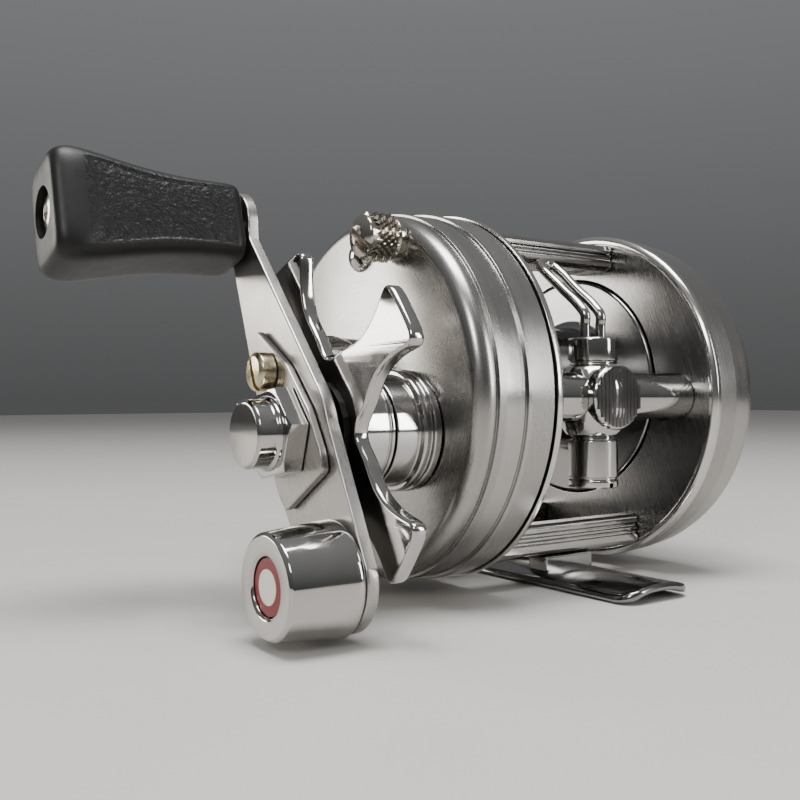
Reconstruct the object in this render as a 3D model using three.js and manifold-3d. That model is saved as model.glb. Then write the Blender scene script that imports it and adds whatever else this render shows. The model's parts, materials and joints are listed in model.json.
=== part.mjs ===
// A small round baitcasting reel with a level wind, a single power handle and a counterweight.
//
// Frame: +X from the crank side to the tail side, -Y to the front (where the line leaves), +Z up.
// The origin is the middle of the flat seat under the foot. All sizes are in millimetres.
import * as THREE from "three";
import { mergeVertices } from "three/addons/utils/BufferGeometryUtils.js";
import Module from "manifold-3d";

const wasm = await Module();
wasm.setup();

// ---------------------------------------------------------------- driving dimensions
const FRAME_GAP = 28.5; // between the two side plates
const PLATE_RADIUS = 25;
const PLATE_THICKNESS = 1.3;
const DISC_HEIGHT = PLATE_RADIUS - 0.4; // centre of the side plates above the foot's seat
const SLIP = 0.15; // radial clearance of a piece that turns or slides on another
const JOINT_GAP = 0.1; // between pieces that are clamped face to face
const CUT_OVERRUN = 1; // how far a cutting tool runs past the face that it cuts

// gear train: module and tooth counts settle the distances between the three shafts
const GEAR_MODULE = 0.5;
const MAIN_TEETH = 46;
const PINION_TEETH = 10;
const COG_MODULE = 0.4;
const DRIVE_COG_TEETH = 27;
const WORM_COG_TEETH = 16;
const SPOOL_AXIS = { y: 2.4, z: 1.6 };
const CRANK_BEARING_DEG = -155.9; // from the spool axis to the crank axis
const WORM_BEARING_DEG = 152.3; // from the crank axis to the worm axis

// covers, each a cup with three turned bands and a rounded shoulder
const COVER_WALL = 0.7;
const COVER_GAP = 0.3; // shadow line between a side plate and its cover
const COVER_BAND_RADII = [0.3, 0.65, 1].map((step) => PLATE_RADIUS - step);
const COVER_SHOULDER = 1.7;
const COVER_DOME = 1.2; // the face's middle above its rim
const CRANK_BAND_ENDS = [5.7, 9.7, 10.9]; // outward from the plate's inner face
const TAIL_BAND_ENDS = [5.1, 7.9, 8.9];

// spool
const SPOOL_RADIUS = 16.6;
const SPOOL_OPENING_CLEARANCE = 0.3;
const SPOOL_DRUM_RADIUS = 9;
const FLANGE_THICKNESS = 1.2;
const FLANGE_INSET = 0.9; // how far a flange stands into its side plate's opening
const SPOOL_SHAFT_RADIUS = 1.2;
const BEARING_RADIUS = 4;
const BEARING_WIDTH = 2.3;
const BEARING_HOUSING_RADIUS = 5.2;
const CAP_RADIUS = 6.4;
const CAP_NECK_RADIUS = CAP_RADIUS - 0.8;
const CAP_ROOF = 1.2;
const TENSION_CAP_HEIGHT = 5.4;
const TAIL_CAP_HEIGHT = 4.2;

// crank stack, outward from the crank side plate's inner face
const DRIVE_SHAFT_RADIUS = 2;
const BOSS_SLEEVE_RADIUS = 4.4;
const BOSS_SLEEVE_DEPTH = 1.2; // inside the cover
const BOSS_FLANGE_RADIUS = 7.5;
const BOSS_RADIUS = 6.7;
const BOSS_SEAT = 13.2;
const BOSS_FLANGE_WIDTH = 2.5;
const BOSS_END = 19;
const STAR_BACK = 24.3;
const STAR_THICKNESS = 1.8;
const STAR_TIP_RADIUS = 22;
const STAR_VALLEY_RADIUS = 8.3;
const STAR_ARMS = 5;
const STAR_FIRST_ARM_DEG = 109; // measured from the front, upwards
const SPACER_RADIUS = 6;
const ARM_BACK = 27.3;
const ARM_THICKNESS = 1.5;
const ARM_LEAN_DEG = 31.4; // the arm leans this far back from upright
const ARM_HUB_HALF_WIDTH = 7.4;
const ARM_NECK_HALF_WIDTH = 2.8;
const KNOB_THROW = 29.4; // crank axis to knob axis
const KNOB_END_RADIUS = 4.3;
const KNOB_END_OFFSET = 0.9; // the rounded end's centre beyond the knob's axis
const WEIGHT_THROW = 17.8; // crank axis to counterweight axis
const WEIGHT_END_RADIUS = 6;
const LOCK_PLATE_THICKNESS = 0.9;
const NUT_HEX_RADIUS = 5.5;
const NUT_HEX_HEIGHT = 2.5;
const NUT_CAP_RADIUS = 3.8;
const NUT_CAP_HEIGHT = 2.8;
const WEIGHT_REAR_RADIUS = 6.4;
const WEIGHT_FRONT_RADIUS = 5.5;
const WEIGHT_LENGTH = 8.5;
const BADGE_RADIUS = 3;
const BADGE_RECESS = 0.9;
const KNOB_GAP = 0.4; // from the arm
const KNOB_LENGTH = 23.4;
const KNOB_BASE_HALF_HEIGHT = 5;
const KNOB_WAIST_HALF_HEIGHT = 5.2;
const KNOB_END_HALF_HEIGHT = 7;
const KNOB_HALF_THICKNESS = 4.9;
const KNOB_TILT_DEG = 16; // its front face is turned this far upwards
const SPINDLE_RADIUS = 1.6;
const SPINDLE_HEAD_RADIUS = 2.4;

// level wind
const TUBE_RADIUS = 3.3;
const TUBE_WALL = 0.6;
const WORM_RADIUS = TUBE_RADIUS - TUBE_WALL - 0.5;
const WORM_END_RADIUS = 1.2;
const TUBE_END_WALL = 2;
const CARRIAGE_REST_X = -2.35;
const CARRIAGE_RADIUS = 4.9;
const CARRIAGE_TRAVEL = FRAME_GAP / 2 - CARRIAGE_RADIUS; // to each side of the middle
const COLLAR_RADIUS = 3.2;
const COLLAR_TOP = 7.8;
const PAD_RADIUS = 4;
const PAD_REACH = 4.3; // the pad's face in front of the tube's axis
const PAWL_CAP_END = 11.9; // below the tube's axis
const WIRE_RADIUS = 0.7;
const WIRE_SPACING = 2.9;

// bars and foot, placed from the centre of the side plates
const PILLAR_RADIUS = 1.7;
const FRONT_BAR = { y: -9.6, z: 5.3 - PLATE_RADIUS };
const REAR_BAR = { y: 9.6, z: 5.3 - PLATE_RADIUS };
const LOWER_BAR_WIDTH = 3.4;
const LOWER_BAR_HEIGHT = 4.4;
const BAR_CORNER = 0.8;
const BACK_PILLAR = { y: 21.3, z: 4 };
const TOP_BAR = { y: -2.3, z: PLATE_RADIUS - 3.95 };
const TOP_BAR_WIDTH = 8;
const TOP_BAR_HEIGHT = 3.9;
const FOOT_HALF_LENGTH = 27.6;
const FOOT_HALF_WIDTH = 6.1;
const FOOT_THICKNESS = 1.1;
const FOOT_ARCH = 1.3; // the foot's long edges below its seat
const FOOT_SEAT_HALF_WIDTH = 2.6;

// thumbscrews that hold the crank side cover
const THUMBSCREW = { y: -7.6, z: 19.9 };
const THUMBSCREW_RADIUS = 2.9;
const THUMBSCREW_HEIGHT = 6;
const KEEPER = { y: -0.2, z: 18.6 };
const KEEPER_RADIUS = 2.1;
const KEEPER_HEIGHT = 1.8;

// free-spool button and pinion yoke
const BUTTON_Z = 4;
const YOKE_POST_SPACING = 17;

const RADIANS = Math.PI / 180;
const ROUND = 20; // sides of a medium turned piece
const FINE = 36; // sides of a large turned piece
const SMALL = 12; // sides of a small turned piece

// ---------------------------------------------------------------- derived places
const CENTRE_DISTANCE = (GEAR_MODULE * (MAIN_TEETH + PINION_TEETH)) / 2;
const COG_DISTANCE = (COG_MODULE * (DRIVE_COG_TEETH + WORM_COG_TEETH)) / 2;

function polarFrom(place, distance, degrees) {
  return {
    y: place.y + distance * Math.cos(degrees * RADIANS),
    z: place.z + distance * Math.sin(degrees * RADIANS),
  };
}

const CRANK_AXIS = polarFrom(SPOOL_AXIS, CENTRE_DISTANCE, CRANK_BEARING_DEG);
const WORM_AXIS = polarFrom(CRANK_AXIS, COG_DISTANCE, WORM_BEARING_DEG);

// ---------------------------------------------------------------- solids
// A manifold-3d solid from a closed three.js geometry, turned right side out if need be.
function solidOf(geometry) {
  const bare = geometry.index ? geometry.toNonIndexed() : geometry.clone();
  bare.deleteAttribute("normal");
  bare.deleteAttribute("uv");
  const merged = mergeVertices(bare, 1e-4);
  const triVerts = new Uint32Array(merged.index.array);
  const build = () =>
    new wasm.Manifold(
      new wasm.Mesh({ numProp: 3, vertProperties: merged.attributes.position.array, triVerts }),
    );
  const made = build();
  if (made.volume() > 0) return made;
  for (let i = 0; i < triVerts.length; i += 3) {
    [triVerts[i + 1], triVerts[i + 2]] = [triVerts[i + 2], triVerts[i + 1]];
  }
  return build();
}

function geometryOf(solid) {
  const mesh = solid.getMesh();
  return new THREE.BufferGeometry()
    .setAttribute("position", new THREE.BufferAttribute(new Float32Array(mesh.vertProperties), 3))
    .setIndex(new THREE.BufferAttribute(new Uint32Array(mesh.triVerts), 1));
}

function join(...geometries) {
  return geometryOf(geometries.map(solidOf).reduce((whole, next) => whole.add(next)));
}

function cut(geometry, ...tools) {
  return geometryOf(tools.map(solidOf).reduce((whole, next) => whole.subtract(next), solidOf(geometry)));
}

// A body of revolution about X from [radius, x] points that close on themselves or on the axis.
function turned(profile, sides = ROUND) {
  const points = profile.map(([radius, x]) => new THREE.Vector2(radius, x));
  return new THREE.LatheGeometry(points, sides).rotateZ(-Math.PI / 2);
}

function rod(radius, from, to, sides = SMALL) {
  return turned(
    [
      [0, from],
      [radius, from],
      [radius, to],
      [0, to],
    ],
    sides,
  );
}

function sleeve(inner, outer, from, to, sides = ROUND) {
  return turned(
    [
      [inner, from],
      [outer, from],
      [outer, to],
      [inner, to],
      [inner, from],
    ],
    sides,
  );
}

// A flat piece whose outline lies in the YZ plane, from x = from to x = to.
const OUTLINE_TO_YZ = new THREE.Matrix4().makeBasis(
  new THREE.Vector3(0, 1, 0),
  new THREE.Vector3(0, 0, 1),
  new THREE.Vector3(1, 0, 0),
);

function flat(outline, from, to, curveSegments = 12) {
  const settings = { depth: to - from, bevelEnabled: false, curveSegments };
  return new THREE.ExtrudeGeometry(outline, settings).applyMatrix4(OUTLINE_TO_YZ).translate(from, 0, 0);
}

function block(x0, x1, y0, y1, z0, z1) {
  return new THREE.BoxGeometry(x1 - x0, y1 - y0, z1 - z0).translate(
    (x0 + x1) / 2,
    (y0 + y1) / 2,
    (z0 + z1) / 2,
  );
}

function circleHole(radius, y = 0, z = 0) {
  return new THREE.Path().absarc(y, z, radius, 0, 2 * Math.PI, true);
}

function disc(radius, y = 0, z = 0) {
  return new THREE.Shape().absarc(y, z, radius, 0, 2 * Math.PI, false);
}

// ---------------------------------------------------------------- materials
function finish(colour, roughness, metalness = 1) {
  return new THREE.MeshStandardMaterial({ color: colour, roughness, metalness });
}

const MATERIALS = {
  satin: finish("#b9b6b1", 0.38),
  bright: finish("#d6d3ce", 0.16),
  chrome: finish("#e4e2de", 0.08),
  steel: finish("#a8a6a2", 0.3),
  brass: finish("#b89a5a", 0.3),
  black: finish("#17171a", 0.55, 0),
  fibre: finish("#3a3028", 0.8, 0),
  red: finish("#8e1f22", 0.4, 0),
};

// ---------------------------------------------------------------- scene graph
const reel = new THREE.Group();
const discs = new THREE.Group(); // centred on the side plates
discs.position.z = DISC_HEIGHT;
reel.add(discs);

// In both side groups +X points outwards from the side plate's inner face.
// The crank side is turned half a turn about Z, so its local Y is the reel's -Y.
const crankSide = new THREE.Group();
crankSide.position.x = -FRAME_GAP / 2;
crankSide.rotation.z = Math.PI;
const tailSide = new THREE.Group();
tailSide.position.x = FRAME_GAP / 2;
discs.add(crankSide, tailSide);

function add(group, name, material, geometry, x = 0, y = 0, z = 0) {
  const mesh = new THREE.Mesh(geometry, MATERIALS[material]);
  mesh.name = name;
  mesh.position.set(x, y, z);
  group.add(mesh);
  return mesh;
}

const between = (name, material, geometry, at = { y: 0, z: 0 }, x = 0) =>
  add(discs, name, material, geometry, x, at.y, at.z);
const onCrankSide = (name, material, geometry, at = { y: 0, z: 0 }) =>
  add(crankSide, name, material, geometry, 0, -at.y, at.z);
const onTailSide = (name, material, geometry, at = { y: 0, z: 0 }) =>
  add(tailSide, name, material, geometry, 0, at.y, at.z);

// ---------------------------------------------------------------- frame
const SPOOL_OPENING = SPOOL_RADIUS + SPOOL_OPENING_CLEARANCE;

// side is -1 on the crank side, whose local Y is reversed, and +1 on the tail side
function sidePlate(side) {
  const outline = new THREE.Shape().absarc(0, 0, PLATE_RADIUS, 0, 2 * Math.PI, false);
  outline.holes.push(
    circleHole(SPOOL_OPENING, side * SPOOL_AXIS.y, SPOOL_AXIS.z),
    circleHole(TUBE_RADIUS + JOINT_GAP, side * WORM_AXIS.y, WORM_AXIS.z),
  );
  return flat(outline, 0, PLATE_THICKNESS, FINE / 2);
}

onCrankSide("crank_side_plate", "bright", sidePlate(-1));
onTailSide("tail_side_plate", "bright", sidePlate(1));

const SPAN = FRAME_GAP / 2 - JOINT_GAP;
between("back_pillar", "steel", rod(PILLAR_RADIUS, -SPAN, SPAN, SMALL), BACK_PILLAR);

// A straight bar with rounded long edges.
function bar(width, height, corner) {
  const halfWidth = width / 2 - corner;
  const halfHeight = height / 2 - corner;
  const outline = new THREE.Shape();
  for (const [quarter, y, z] of [
    [0, halfWidth, halfHeight],
    [1, -halfWidth, halfHeight],
    [2, -halfWidth, -halfHeight],
    [3, halfWidth, -halfHeight],
  ]) {
    outline.absarc(y, z, corner, (quarter * Math.PI) / 2, ((quarter + 1) * Math.PI) / 2, false);
  }
  return flat(outline, -SPAN, SPAN, 3);
}
between("top_bar", "steel", bar(TOP_BAR_WIDTH, TOP_BAR_HEIGHT, 2 * BAR_CORNER), TOP_BAR);
between("lower_front_bar", "steel", bar(LOWER_BAR_WIDTH, LOWER_BAR_HEIGHT, BAR_CORNER), FRONT_BAR);
between("lower_rear_bar", "steel", bar(LOWER_BAR_WIDTH, LOWER_BAR_HEIGHT, BAR_CORNER), REAR_BAR);

// The foot is one plate: flat along its middle for the rod's seat and arched down at its long edges.
// Two saddles rise from it to the lower bars.
const SADDLE_HALF_LENGTH = LOWER_BAR_WIDTH / 2;
const SADDLE_HALF_WIDTH = 4.6;
const SADDLE_TOP = DISC_HEIGHT + FRONT_BAR.z - LOWER_BAR_HEIGHT / 2 - JOINT_GAP;

function footPlate() {
  const section = new THREE.Shape();
  const half = FOOT_HALF_WIDTH;
  const seat = FOOT_SEAT_HALF_WIDTH;
  section.moveTo(-half, -FOOT_ARCH);
  section.quadraticCurveTo(-half * 0.7, 0, -seat, 0);
  section.lineTo(seat, 0);
  section.quadraticCurveTo(half * 0.7, 0, half, -FOOT_ARCH);
  section.lineTo(half, FOOT_THICKNESS - FOOT_ARCH);
  section.quadraticCurveTo(half * 0.7, FOOT_THICKNESS, seat, FOOT_THICKNESS);
  section.lineTo(-seat, FOOT_THICKNESS);
  section.quadraticCurveTo(-half * 0.7, FOOT_THICKNESS, -half, FOOT_THICKNESS - FOOT_ARCH);
  const settings = { depth: 2 * FOOT_HALF_LENGTH, bevelEnabled: false, curveSegments: 6 };
  return new THREE.ExtrudeGeometry(section, settings).rotateX(Math.PI / 2).translate(0, FOOT_HALF_LENGTH, 0);
}

function saddle(at) {
  return block(
    -SADDLE_HALF_WIDTH,
    SADDLE_HALF_WIDTH,
    at.y - SADDLE_HALF_LENGTH,
    at.y + SADDLE_HALF_LENGTH,
    FOOT_THICKNESS / 2,
    SADDLE_TOP,
  );
}

const RIVET_RADIUS = 0.9;
const RIVET_HEAD_RADIUS = 1.6;
const RIVET_HEAD_HEIGHT = 0.6;

function rivetHole(at) {
  const shank = RIVET_RADIUS + JOINT_GAP;
  const hole = rod(shank, -CUT_OVERRUN, DISC_HEIGHT, SMALL);
  const sink = rod(RIVET_HEAD_RADIUS + JOINT_GAP, -CUT_OVERRUN, RIVET_HEAD_HEIGHT + JOINT_GAP, SMALL);
  return join(hole, sink)
    .rotateY(-Math.PI / 2)
    .translate(0, at.y, 0);
}

function foot() {
  const whole = join(footPlate(), saddle(FRONT_BAR), saddle(REAR_BAR));
  return cut(whole, rivetHole(FRONT_BAR), rivetHole(REAR_BAR));
}
add(reel, "foot", "chrome", foot());

// Each rivet is countersunk in the foot and reaches up to its bar.
function footRivet() {
  return turned(
    [
      [0, 0],
      [RIVET_HEAD_RADIUS, 0],
      [RIVET_HEAD_RADIUS, RIVET_HEAD_HEIGHT],
      [RIVET_RADIUS, RIVET_HEAD_HEIGHT],
      [RIVET_RADIUS, SADDLE_TOP],
      [0, SADDLE_TOP],
    ],
    SMALL,
  ).rotateY(-Math.PI / 2);
}
add(reel, "foot_rivet_front", "steel", footRivet(), 0, FRONT_BAR.y);
add(reel, "foot_rivet_rear", "steel", footRivet(), 0, REAR_BAR.y);

// ---------------------------------------------------------------- covers
// Outer outline of a cover from its open rim to the middle of its face, as [radius, x].
function coverProfile(bandEnds) {
  const start = PLATE_THICKNESS + COVER_GAP;
  const profile = [];
  let x = start;
  bandEnds.forEach((end, band) => {
    profile.push([COVER_BAND_RADII[band], x], [COVER_BAND_RADII[band], end]);
    x = end;
  });
  const shoulderRadius = COVER_BAND_RADII.at(-1) - COVER_SHOULDER;
  for (const degrees of [30, 60, 90]) {
    profile.push([
      shoulderRadius + COVER_SHOULDER * Math.cos(degrees * RADIANS),
      bandEnds.at(-1) + COVER_SHOULDER * Math.sin(degrees * RADIANS),
    ]);
  }
  const rim = bandEnds.at(-1) + COVER_SHOULDER;
  for (const share of [0.7, 0.35]) {
    profile.push([shoulderRadius * share, rim + COVER_DOME * (1 - share * share)]);
  }
  profile.push([0, rim + COVER_DOME]);
  return profile;
}

function coverFace(bandEnds) {
  return bandEnds.at(-1) + COVER_SHOULDER; // inner face is one wall below this
}

function coverShell(bandEnds) {
  const start = PLATE_THICKNESS + COVER_GAP;
  const inner = coverFace(bandEnds) - COVER_WALL;
  const throat = COVER_BAND_RADII.at(-1) - COVER_WALL;
  const inside = [
    [0, inner],
    [throat - COVER_SHOULDER, inner],
    [throat, inner - COVER_SHOULDER],
    [throat, start],
  ];
  return turned([...inside, ...coverProfile(bandEnds)], FINE);
}

// The bearing housing inside a cover and the threaded neck outside it, on the spool axis.
const CRANK_BEARING_X = 9.8;
const TAIL_BEARING_X = 6.4;
const NECK_HEIGHT = 2.6;

function coverWithHousing(bandEnds, bearingX, side) {
  const y = side * SPOOL_AXIS.y;
  const face = coverFace(bandEnds);
  const neckEnd = face + COVER_DOME + NECK_HEIGHT;
  const housing = rod(BEARING_HOUSING_RADIUS, bearingX - JOINT_GAP, face, ROUND);
  const neck = rod(CAP_NECK_RADIUS, face - COVER_WALL, neckEnd, ROUND);
  const pocket = rod(BEARING_RADIUS + JOINT_GAP, 0, bearingX + BEARING_WIDTH + JOINT_GAP, ROUND);
  const bore = rod(SPOOL_SHAFT_RADIUS + 2 * SLIP, 0, neckEnd + CUT_OVERRUN, SMALL);
  const place = (geometry) => geometry.translate(0, y, SPOOL_AXIS.z);
  return cut(
    join(coverShell(bandEnds), place(housing), place(neck)),
    place(pocket),
    place(bore),
  );
}

const SCREW_SHANK_RADIUS = 1.1;
const opposite = (at) => ({ y: -at.y, z: -at.z });
const BUTTON_HALF_HEIGHT = 3.2;
const BUTTON_FROM = 4.2;
const BUTTON_TO = 9.2;
const BUTTON_CLEARANCE = 0.25;

function crankCover() {
  const face = coverFace(CRANK_BAND_ENDS);
  const bossHole = rod(BOSS_SLEEVE_RADIUS + JOINT_GAP, 0, 2 * face, ROUND);
  const bossSeat = rod(BOSS_FLANGE_RADIUS + JOINT_GAP, BOSS_SEAT, 2 * face, ROUND);
  const atCrank = (geometry) => geometry.translate(0, -CRANK_AXIS.y, CRANK_AXIS.z);
  const screwHoles = [THUMBSCREW, opposite(THUMBSCREW)].map((at) =>
    rod(SCREW_SHANK_RADIUS + JOINT_GAP, 0, 2 * face, SMALL).translate(0, -at.y, at.z),
  );
  const screwSeats = [THUMBSCREW, opposite(THUMBSCREW)].map((at) =>
    rod(THUMBSCREW_RADIUS + JOINT_GAP, face, 2 * face, SMALL).translate(0, -at.y, at.z),
  );
  const keeperSeat = rod(KEEPER_RADIUS + JOINT_GAP, face, 2 * face, SMALL).translate(0, -KEEPER.y, KEEPER.z);
  const buttonSlot = block(
    BUTTON_FROM - BUTTON_CLEARANCE,
    BUTTON_TO + BUTTON_CLEARANCE,
    -PLATE_RADIUS - CUT_OVERRUN,
    -PLATE_RADIUS / 2,
    BUTTON_Z - BUTTON_HALF_HEIGHT - BUTTON_CLEARANCE,
    BUTTON_Z + BUTTON_HALF_HEIGHT + BUTTON_CLEARANCE,
  );
  return cut(
    coverWithHousing(CRANK_BAND_ENDS, CRANK_BEARING_X, -1),
    atCrank(bossHole),
    atCrank(bossSeat),
    ...screwHoles,
    ...screwSeats,
    keeperSeat,
    buttonSlot,
  );
}

onCrankSide("crank_cover", "satin", crankCover());

// The boss is a flanged sleeve that carries the drive shaft.
function crankBoss() {
  const inner = coverFace(CRANK_BAND_ENDS) - COVER_WALL - BOSS_SLEEVE_DEPTH;
  const flangeEnd = BOSS_SEAT + JOINT_GAP + BOSS_FLANGE_WIDTH;
  const bore = DRIVE_SHAFT_RADIUS + SLIP;
  return turned(
    [
      [bore, inner],
      [BOSS_SLEEVE_RADIUS, inner],
      [BOSS_SLEEVE_RADIUS, BOSS_SEAT + JOINT_GAP],
      [BOSS_FLANGE_RADIUS, BOSS_SEAT + JOINT_GAP],
      [BOSS_FLANGE_RADIUS, flangeEnd],
      [BOSS_RADIUS, flangeEnd],
      [BOSS_RADIUS, BOSS_END],
      [bore, BOSS_END],
      [bore, inner],
    ],
    ROUND,
  );
}
onCrankSide("crank_boss", "chrome", crankBoss(), CRANK_AXIS);

// A thumbscrew: a round head with a coin slot, and a shank down to the side plate.
function thumbscrew() {
  const seat = coverFace(CRANK_BAND_ENDS) + JOINT_GAP;
  const top = seat + THUMBSCREW_HEIGHT;
  const domeRadius = THUMBSCREW_RADIUS - 0.6;
  const start = PLATE_THICKNESS + JOINT_GAP;
  const body = turned(
    [
      [0, start],
      [SCREW_SHANK_RADIUS, start],
      [SCREW_SHANK_RADIUS, seat],
      [THUMBSCREW_RADIUS, seat],
      [THUMBSCREW_RADIUS, top - 1],
      [domeRadius, top - 0.3],
      [0, top],
    ],
    SMALL,
  );
  const slotHalfWidth = 0.5;
  const slotDepth = 1.4;
  const slot = block(
    top - slotDepth,
    top + CUT_OVERRUN,
    -THUMBSCREW_RADIUS - CUT_OVERRUN,
    THUMBSCREW_RADIUS + CUT_OVERRUN,
    -slotHalfWidth,
    slotHalfWidth,
  );
  return cut(body, slot.rotateX(-40 * RADIANS));
}
onCrankSide("thumbscrew_top", "steel", thumbscrew(), THUMBSCREW);
onCrankSide("thumbscrew_bottom", "steel", thumbscrew(), opposite(THUMBSCREW));

// The keeper screw has a low dome and sits beside the upper thumbscrew.
const SCREW_EDGE = 0.3; // the straight wall under a low dome

function domedScrew(radius, height, seat) {
  const dome = [0, 30, 60].map((degrees) => [
    radius * Math.cos(degrees * RADIANS),
    seat + SCREW_EDGE + (height - SCREW_EDGE) * Math.sin(degrees * RADIANS),
  ]);
  return turned([[0, seat], [radius, seat], ...dome, [0, seat + height]], SMALL);
}
onCrankSide(
  "keeper_screw",
  "chrome",
  domedScrew(KEEPER_RADIUS, KEEPER_HEIGHT, coverFace(CRANK_BAND_ENDS) + JOINT_GAP),
  KEEPER,
);

const TAIL_SCREW_RADIUS = 1.5;
const TAIL_SCREW_HEIGHT = 1.2;
const TAIL_SCREWS = [
  { y: 0, z: 20 },
  { y: 0, z: -20 },
];

function tailCover() {
  const face = coverFace(TAIL_BAND_ENDS);
  const seats = TAIL_SCREWS.map((at) =>
    rod(TAIL_SCREW_RADIUS + JOINT_GAP, face, 2 * face, SMALL).translate(0, at.y, at.z),
  );
  return cut(coverWithHousing(TAIL_BAND_ENDS, TAIL_BEARING_X, 1), ...seats);
}
onTailSide("tail_cover", "satin", tailCover());
TAIL_SCREWS.forEach((at, index) => {
  const seat = coverFace(TAIL_BAND_ENDS) + JOINT_GAP;
  const screw = domedScrew(TAIL_SCREW_RADIUS, TAIL_SCREW_HEIGHT, seat);
  onTailSide(`tail_cover_screw_${index + 1}`, "steel", screw, at);
});

// A cap is a cup that screws over a cover's neck.
function neckCap(bandEnds, height) {
  const base = coverFace(bandEnds) + COVER_DOME + 2 * SLIP;
  const roof = base + height - CAP_ROOF;
  const top = base + height;
  const inner = CAP_NECK_RADIUS + SLIP;
  const under = Math.max(roof, base + NECK_HEIGHT + SLIP);
  return turned(
    [
      [0, under],
      [inner, under],
      [inner, base],
      [CAP_RADIUS, base],
      [CAP_RADIUS, top - 0.5],
      [CAP_RADIUS - 0.5, top],
      [0, top],
    ],
    ROUND,
  );
}
onCrankSide("tension_cap", "bright", neckCap(CRANK_BAND_ENDS, TENSION_CAP_HEIGHT), SPOOL_AXIS);
onTailSide("tail_bearing_cap", "bright", neckCap(TAIL_BAND_ENDS, TAIL_CAP_HEIGHT), SPOOL_AXIS);

// ---------------------------------------------------------------- bearings and brake
function bearing(from) {
  return sleeve(SPOOL_SHAFT_RADIUS + SLIP, BEARING_RADIUS, from, from + BEARING_WIDTH, 24);
}
onCrankSide("crank_side_bearing", "steel", bearing(CRANK_BEARING_X), SPOOL_AXIS);
onTailSide("tail_side_bearing", "steel", bearing(TAIL_BEARING_X), SPOOL_AXIS);

const BRAKE_DRUM_INNER = 7.8;
const BRAKE_DRUM_WALL = 0.6;
const BRAKE_X = 4.4; // plane of the brake blocks
const BRAKE_HALF_WIDTH = 1.9;

function brakeDrum() {
  const back = coverFace(TAIL_BAND_ENDS) - COVER_WALL - JOINT_GAP;
  const web = back - BRAKE_DRUM_WALL;
  const hub = BEARING_HOUSING_RADIUS + JOINT_GAP;
  const outer = BRAKE_DRUM_INNER + BRAKE_DRUM_WALL;
  return turned([
    [hub, web],
    [BRAKE_DRUM_INNER, web],
    [BRAKE_DRUM_INNER, BRAKE_X - BRAKE_HALF_WIDTH],
    [outer, BRAKE_X - BRAKE_HALF_WIDTH],
    [outer, back],
    [hub, back],
    [hub, web],
  ]);
}
onTailSide("brake_drum", "brass", brakeDrum(), SPOOL_AXIS);

// ---------------------------------------------------------------- spool
function spool() {
  const half = FRAME_GAP / 2;
  const outer = half + FLANGE_INSET;
  const inner = outer - FLANGE_THICKNESS;
  const bore = SPOOL_SHAFT_RADIUS + JOINT_GAP / 2;
  const lip = 0.5;
  return turned(
    [
      [bore, -outer],
      [SPOOL_RADIUS - lip, -outer],
      [SPOOL_RADIUS, -outer + lip],
      [SPOOL_RADIUS, -inner],
      [SPOOL_DRUM_RADIUS, -inner],
      [SPOOL_DRUM_RADIUS, inner],
      [SPOOL_RADIUS, inner],
      [SPOOL_RADIUS, outer - lip],
      [SPOOL_RADIUS - lip, outer],
      [bore, outer],
      [bore, -outer],
    ],
    FINE,
  );
}
between("spool", "bright", spool(), SPOOL_AXIS);

const BRAKE_PIN_RADIUS = 0.5;
const BRAKE_PIN_HALF_LENGTH = 7.2;
const SPOOL_SHAFT_CRANK_END = 12.4; // outward of the crank side plate's inner face
const SPOOL_SHAFT_TAIL_END = 8.8;

function spoolShaft() {
  const half = FRAME_GAP / 2;
  const shaft = rod(SPOOL_SHAFT_RADIUS, -half - SPOOL_SHAFT_CRANK_END, half + SPOOL_SHAFT_TAIL_END, SMALL);
  const pinHole = rod(BRAKE_PIN_RADIUS + JOINT_GAP / 2, -CUT_OVERRUN - 1, CUT_OVERRUN + 1, 12);
  return cut(shaft, pinHole.rotateY(Math.PI / 2).translate(half + BRAKE_X, 0, 0));
}
between("spool_shaft", "steel", spoolShaft(), SPOOL_AXIS);

function brakePin() {
  return rod(BRAKE_PIN_RADIUS, -BRAKE_PIN_HALF_LENGTH, BRAKE_PIN_HALF_LENGTH, 12).rotateY(Math.PI / 2);
}
between("brake_pin", "steel", brakePin(), SPOOL_AXIS, FRAME_GAP / 2 + BRAKE_X);

const BRAKE_BLOCK_RADIUS = 1.4;
const BRAKE_BLOCK_LENGTH = 2.4;
const BRAKE_BLOCK_REST = 4.4; // inner end of a block from the spool axis

for (const [name, up] of [
  ["brake_block_upper", 1],
  ["brake_block_lower", -1],
]) {
  const inner = BRAKE_PIN_RADIUS + SLIP;
  const end = BRAKE_BLOCK_REST + BRAKE_BLOCK_LENGTH;
  const brakeBlock = sleeve(inner, BRAKE_BLOCK_RADIUS, BRAKE_BLOCK_REST, end, SMALL);
  brakeBlock.rotateY((-up * Math.PI) / 2);
  between(name, "fibre", brakeBlock, SPOOL_AXIS, FRAME_GAP / 2 + BRAKE_X);
}

// ---------------------------------------------------------------- gears
// Tooth proportions in modules. The teeth are slim, which leaves backlash.
const ADDENDUM = 0.75;
const DEDENDUM = 1.1;
const TOOTH_SHARE = 0.42; // of the pitch, at the pitch circle
const PRESSURE_DEG = 20;

// Outline of a spur gear with a tooth centred at the given angle. The flanks of a large wheel
// are nearly straight, so it needs fewer points.
const LARGE_WHEEL_TEETH = 20;

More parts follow.
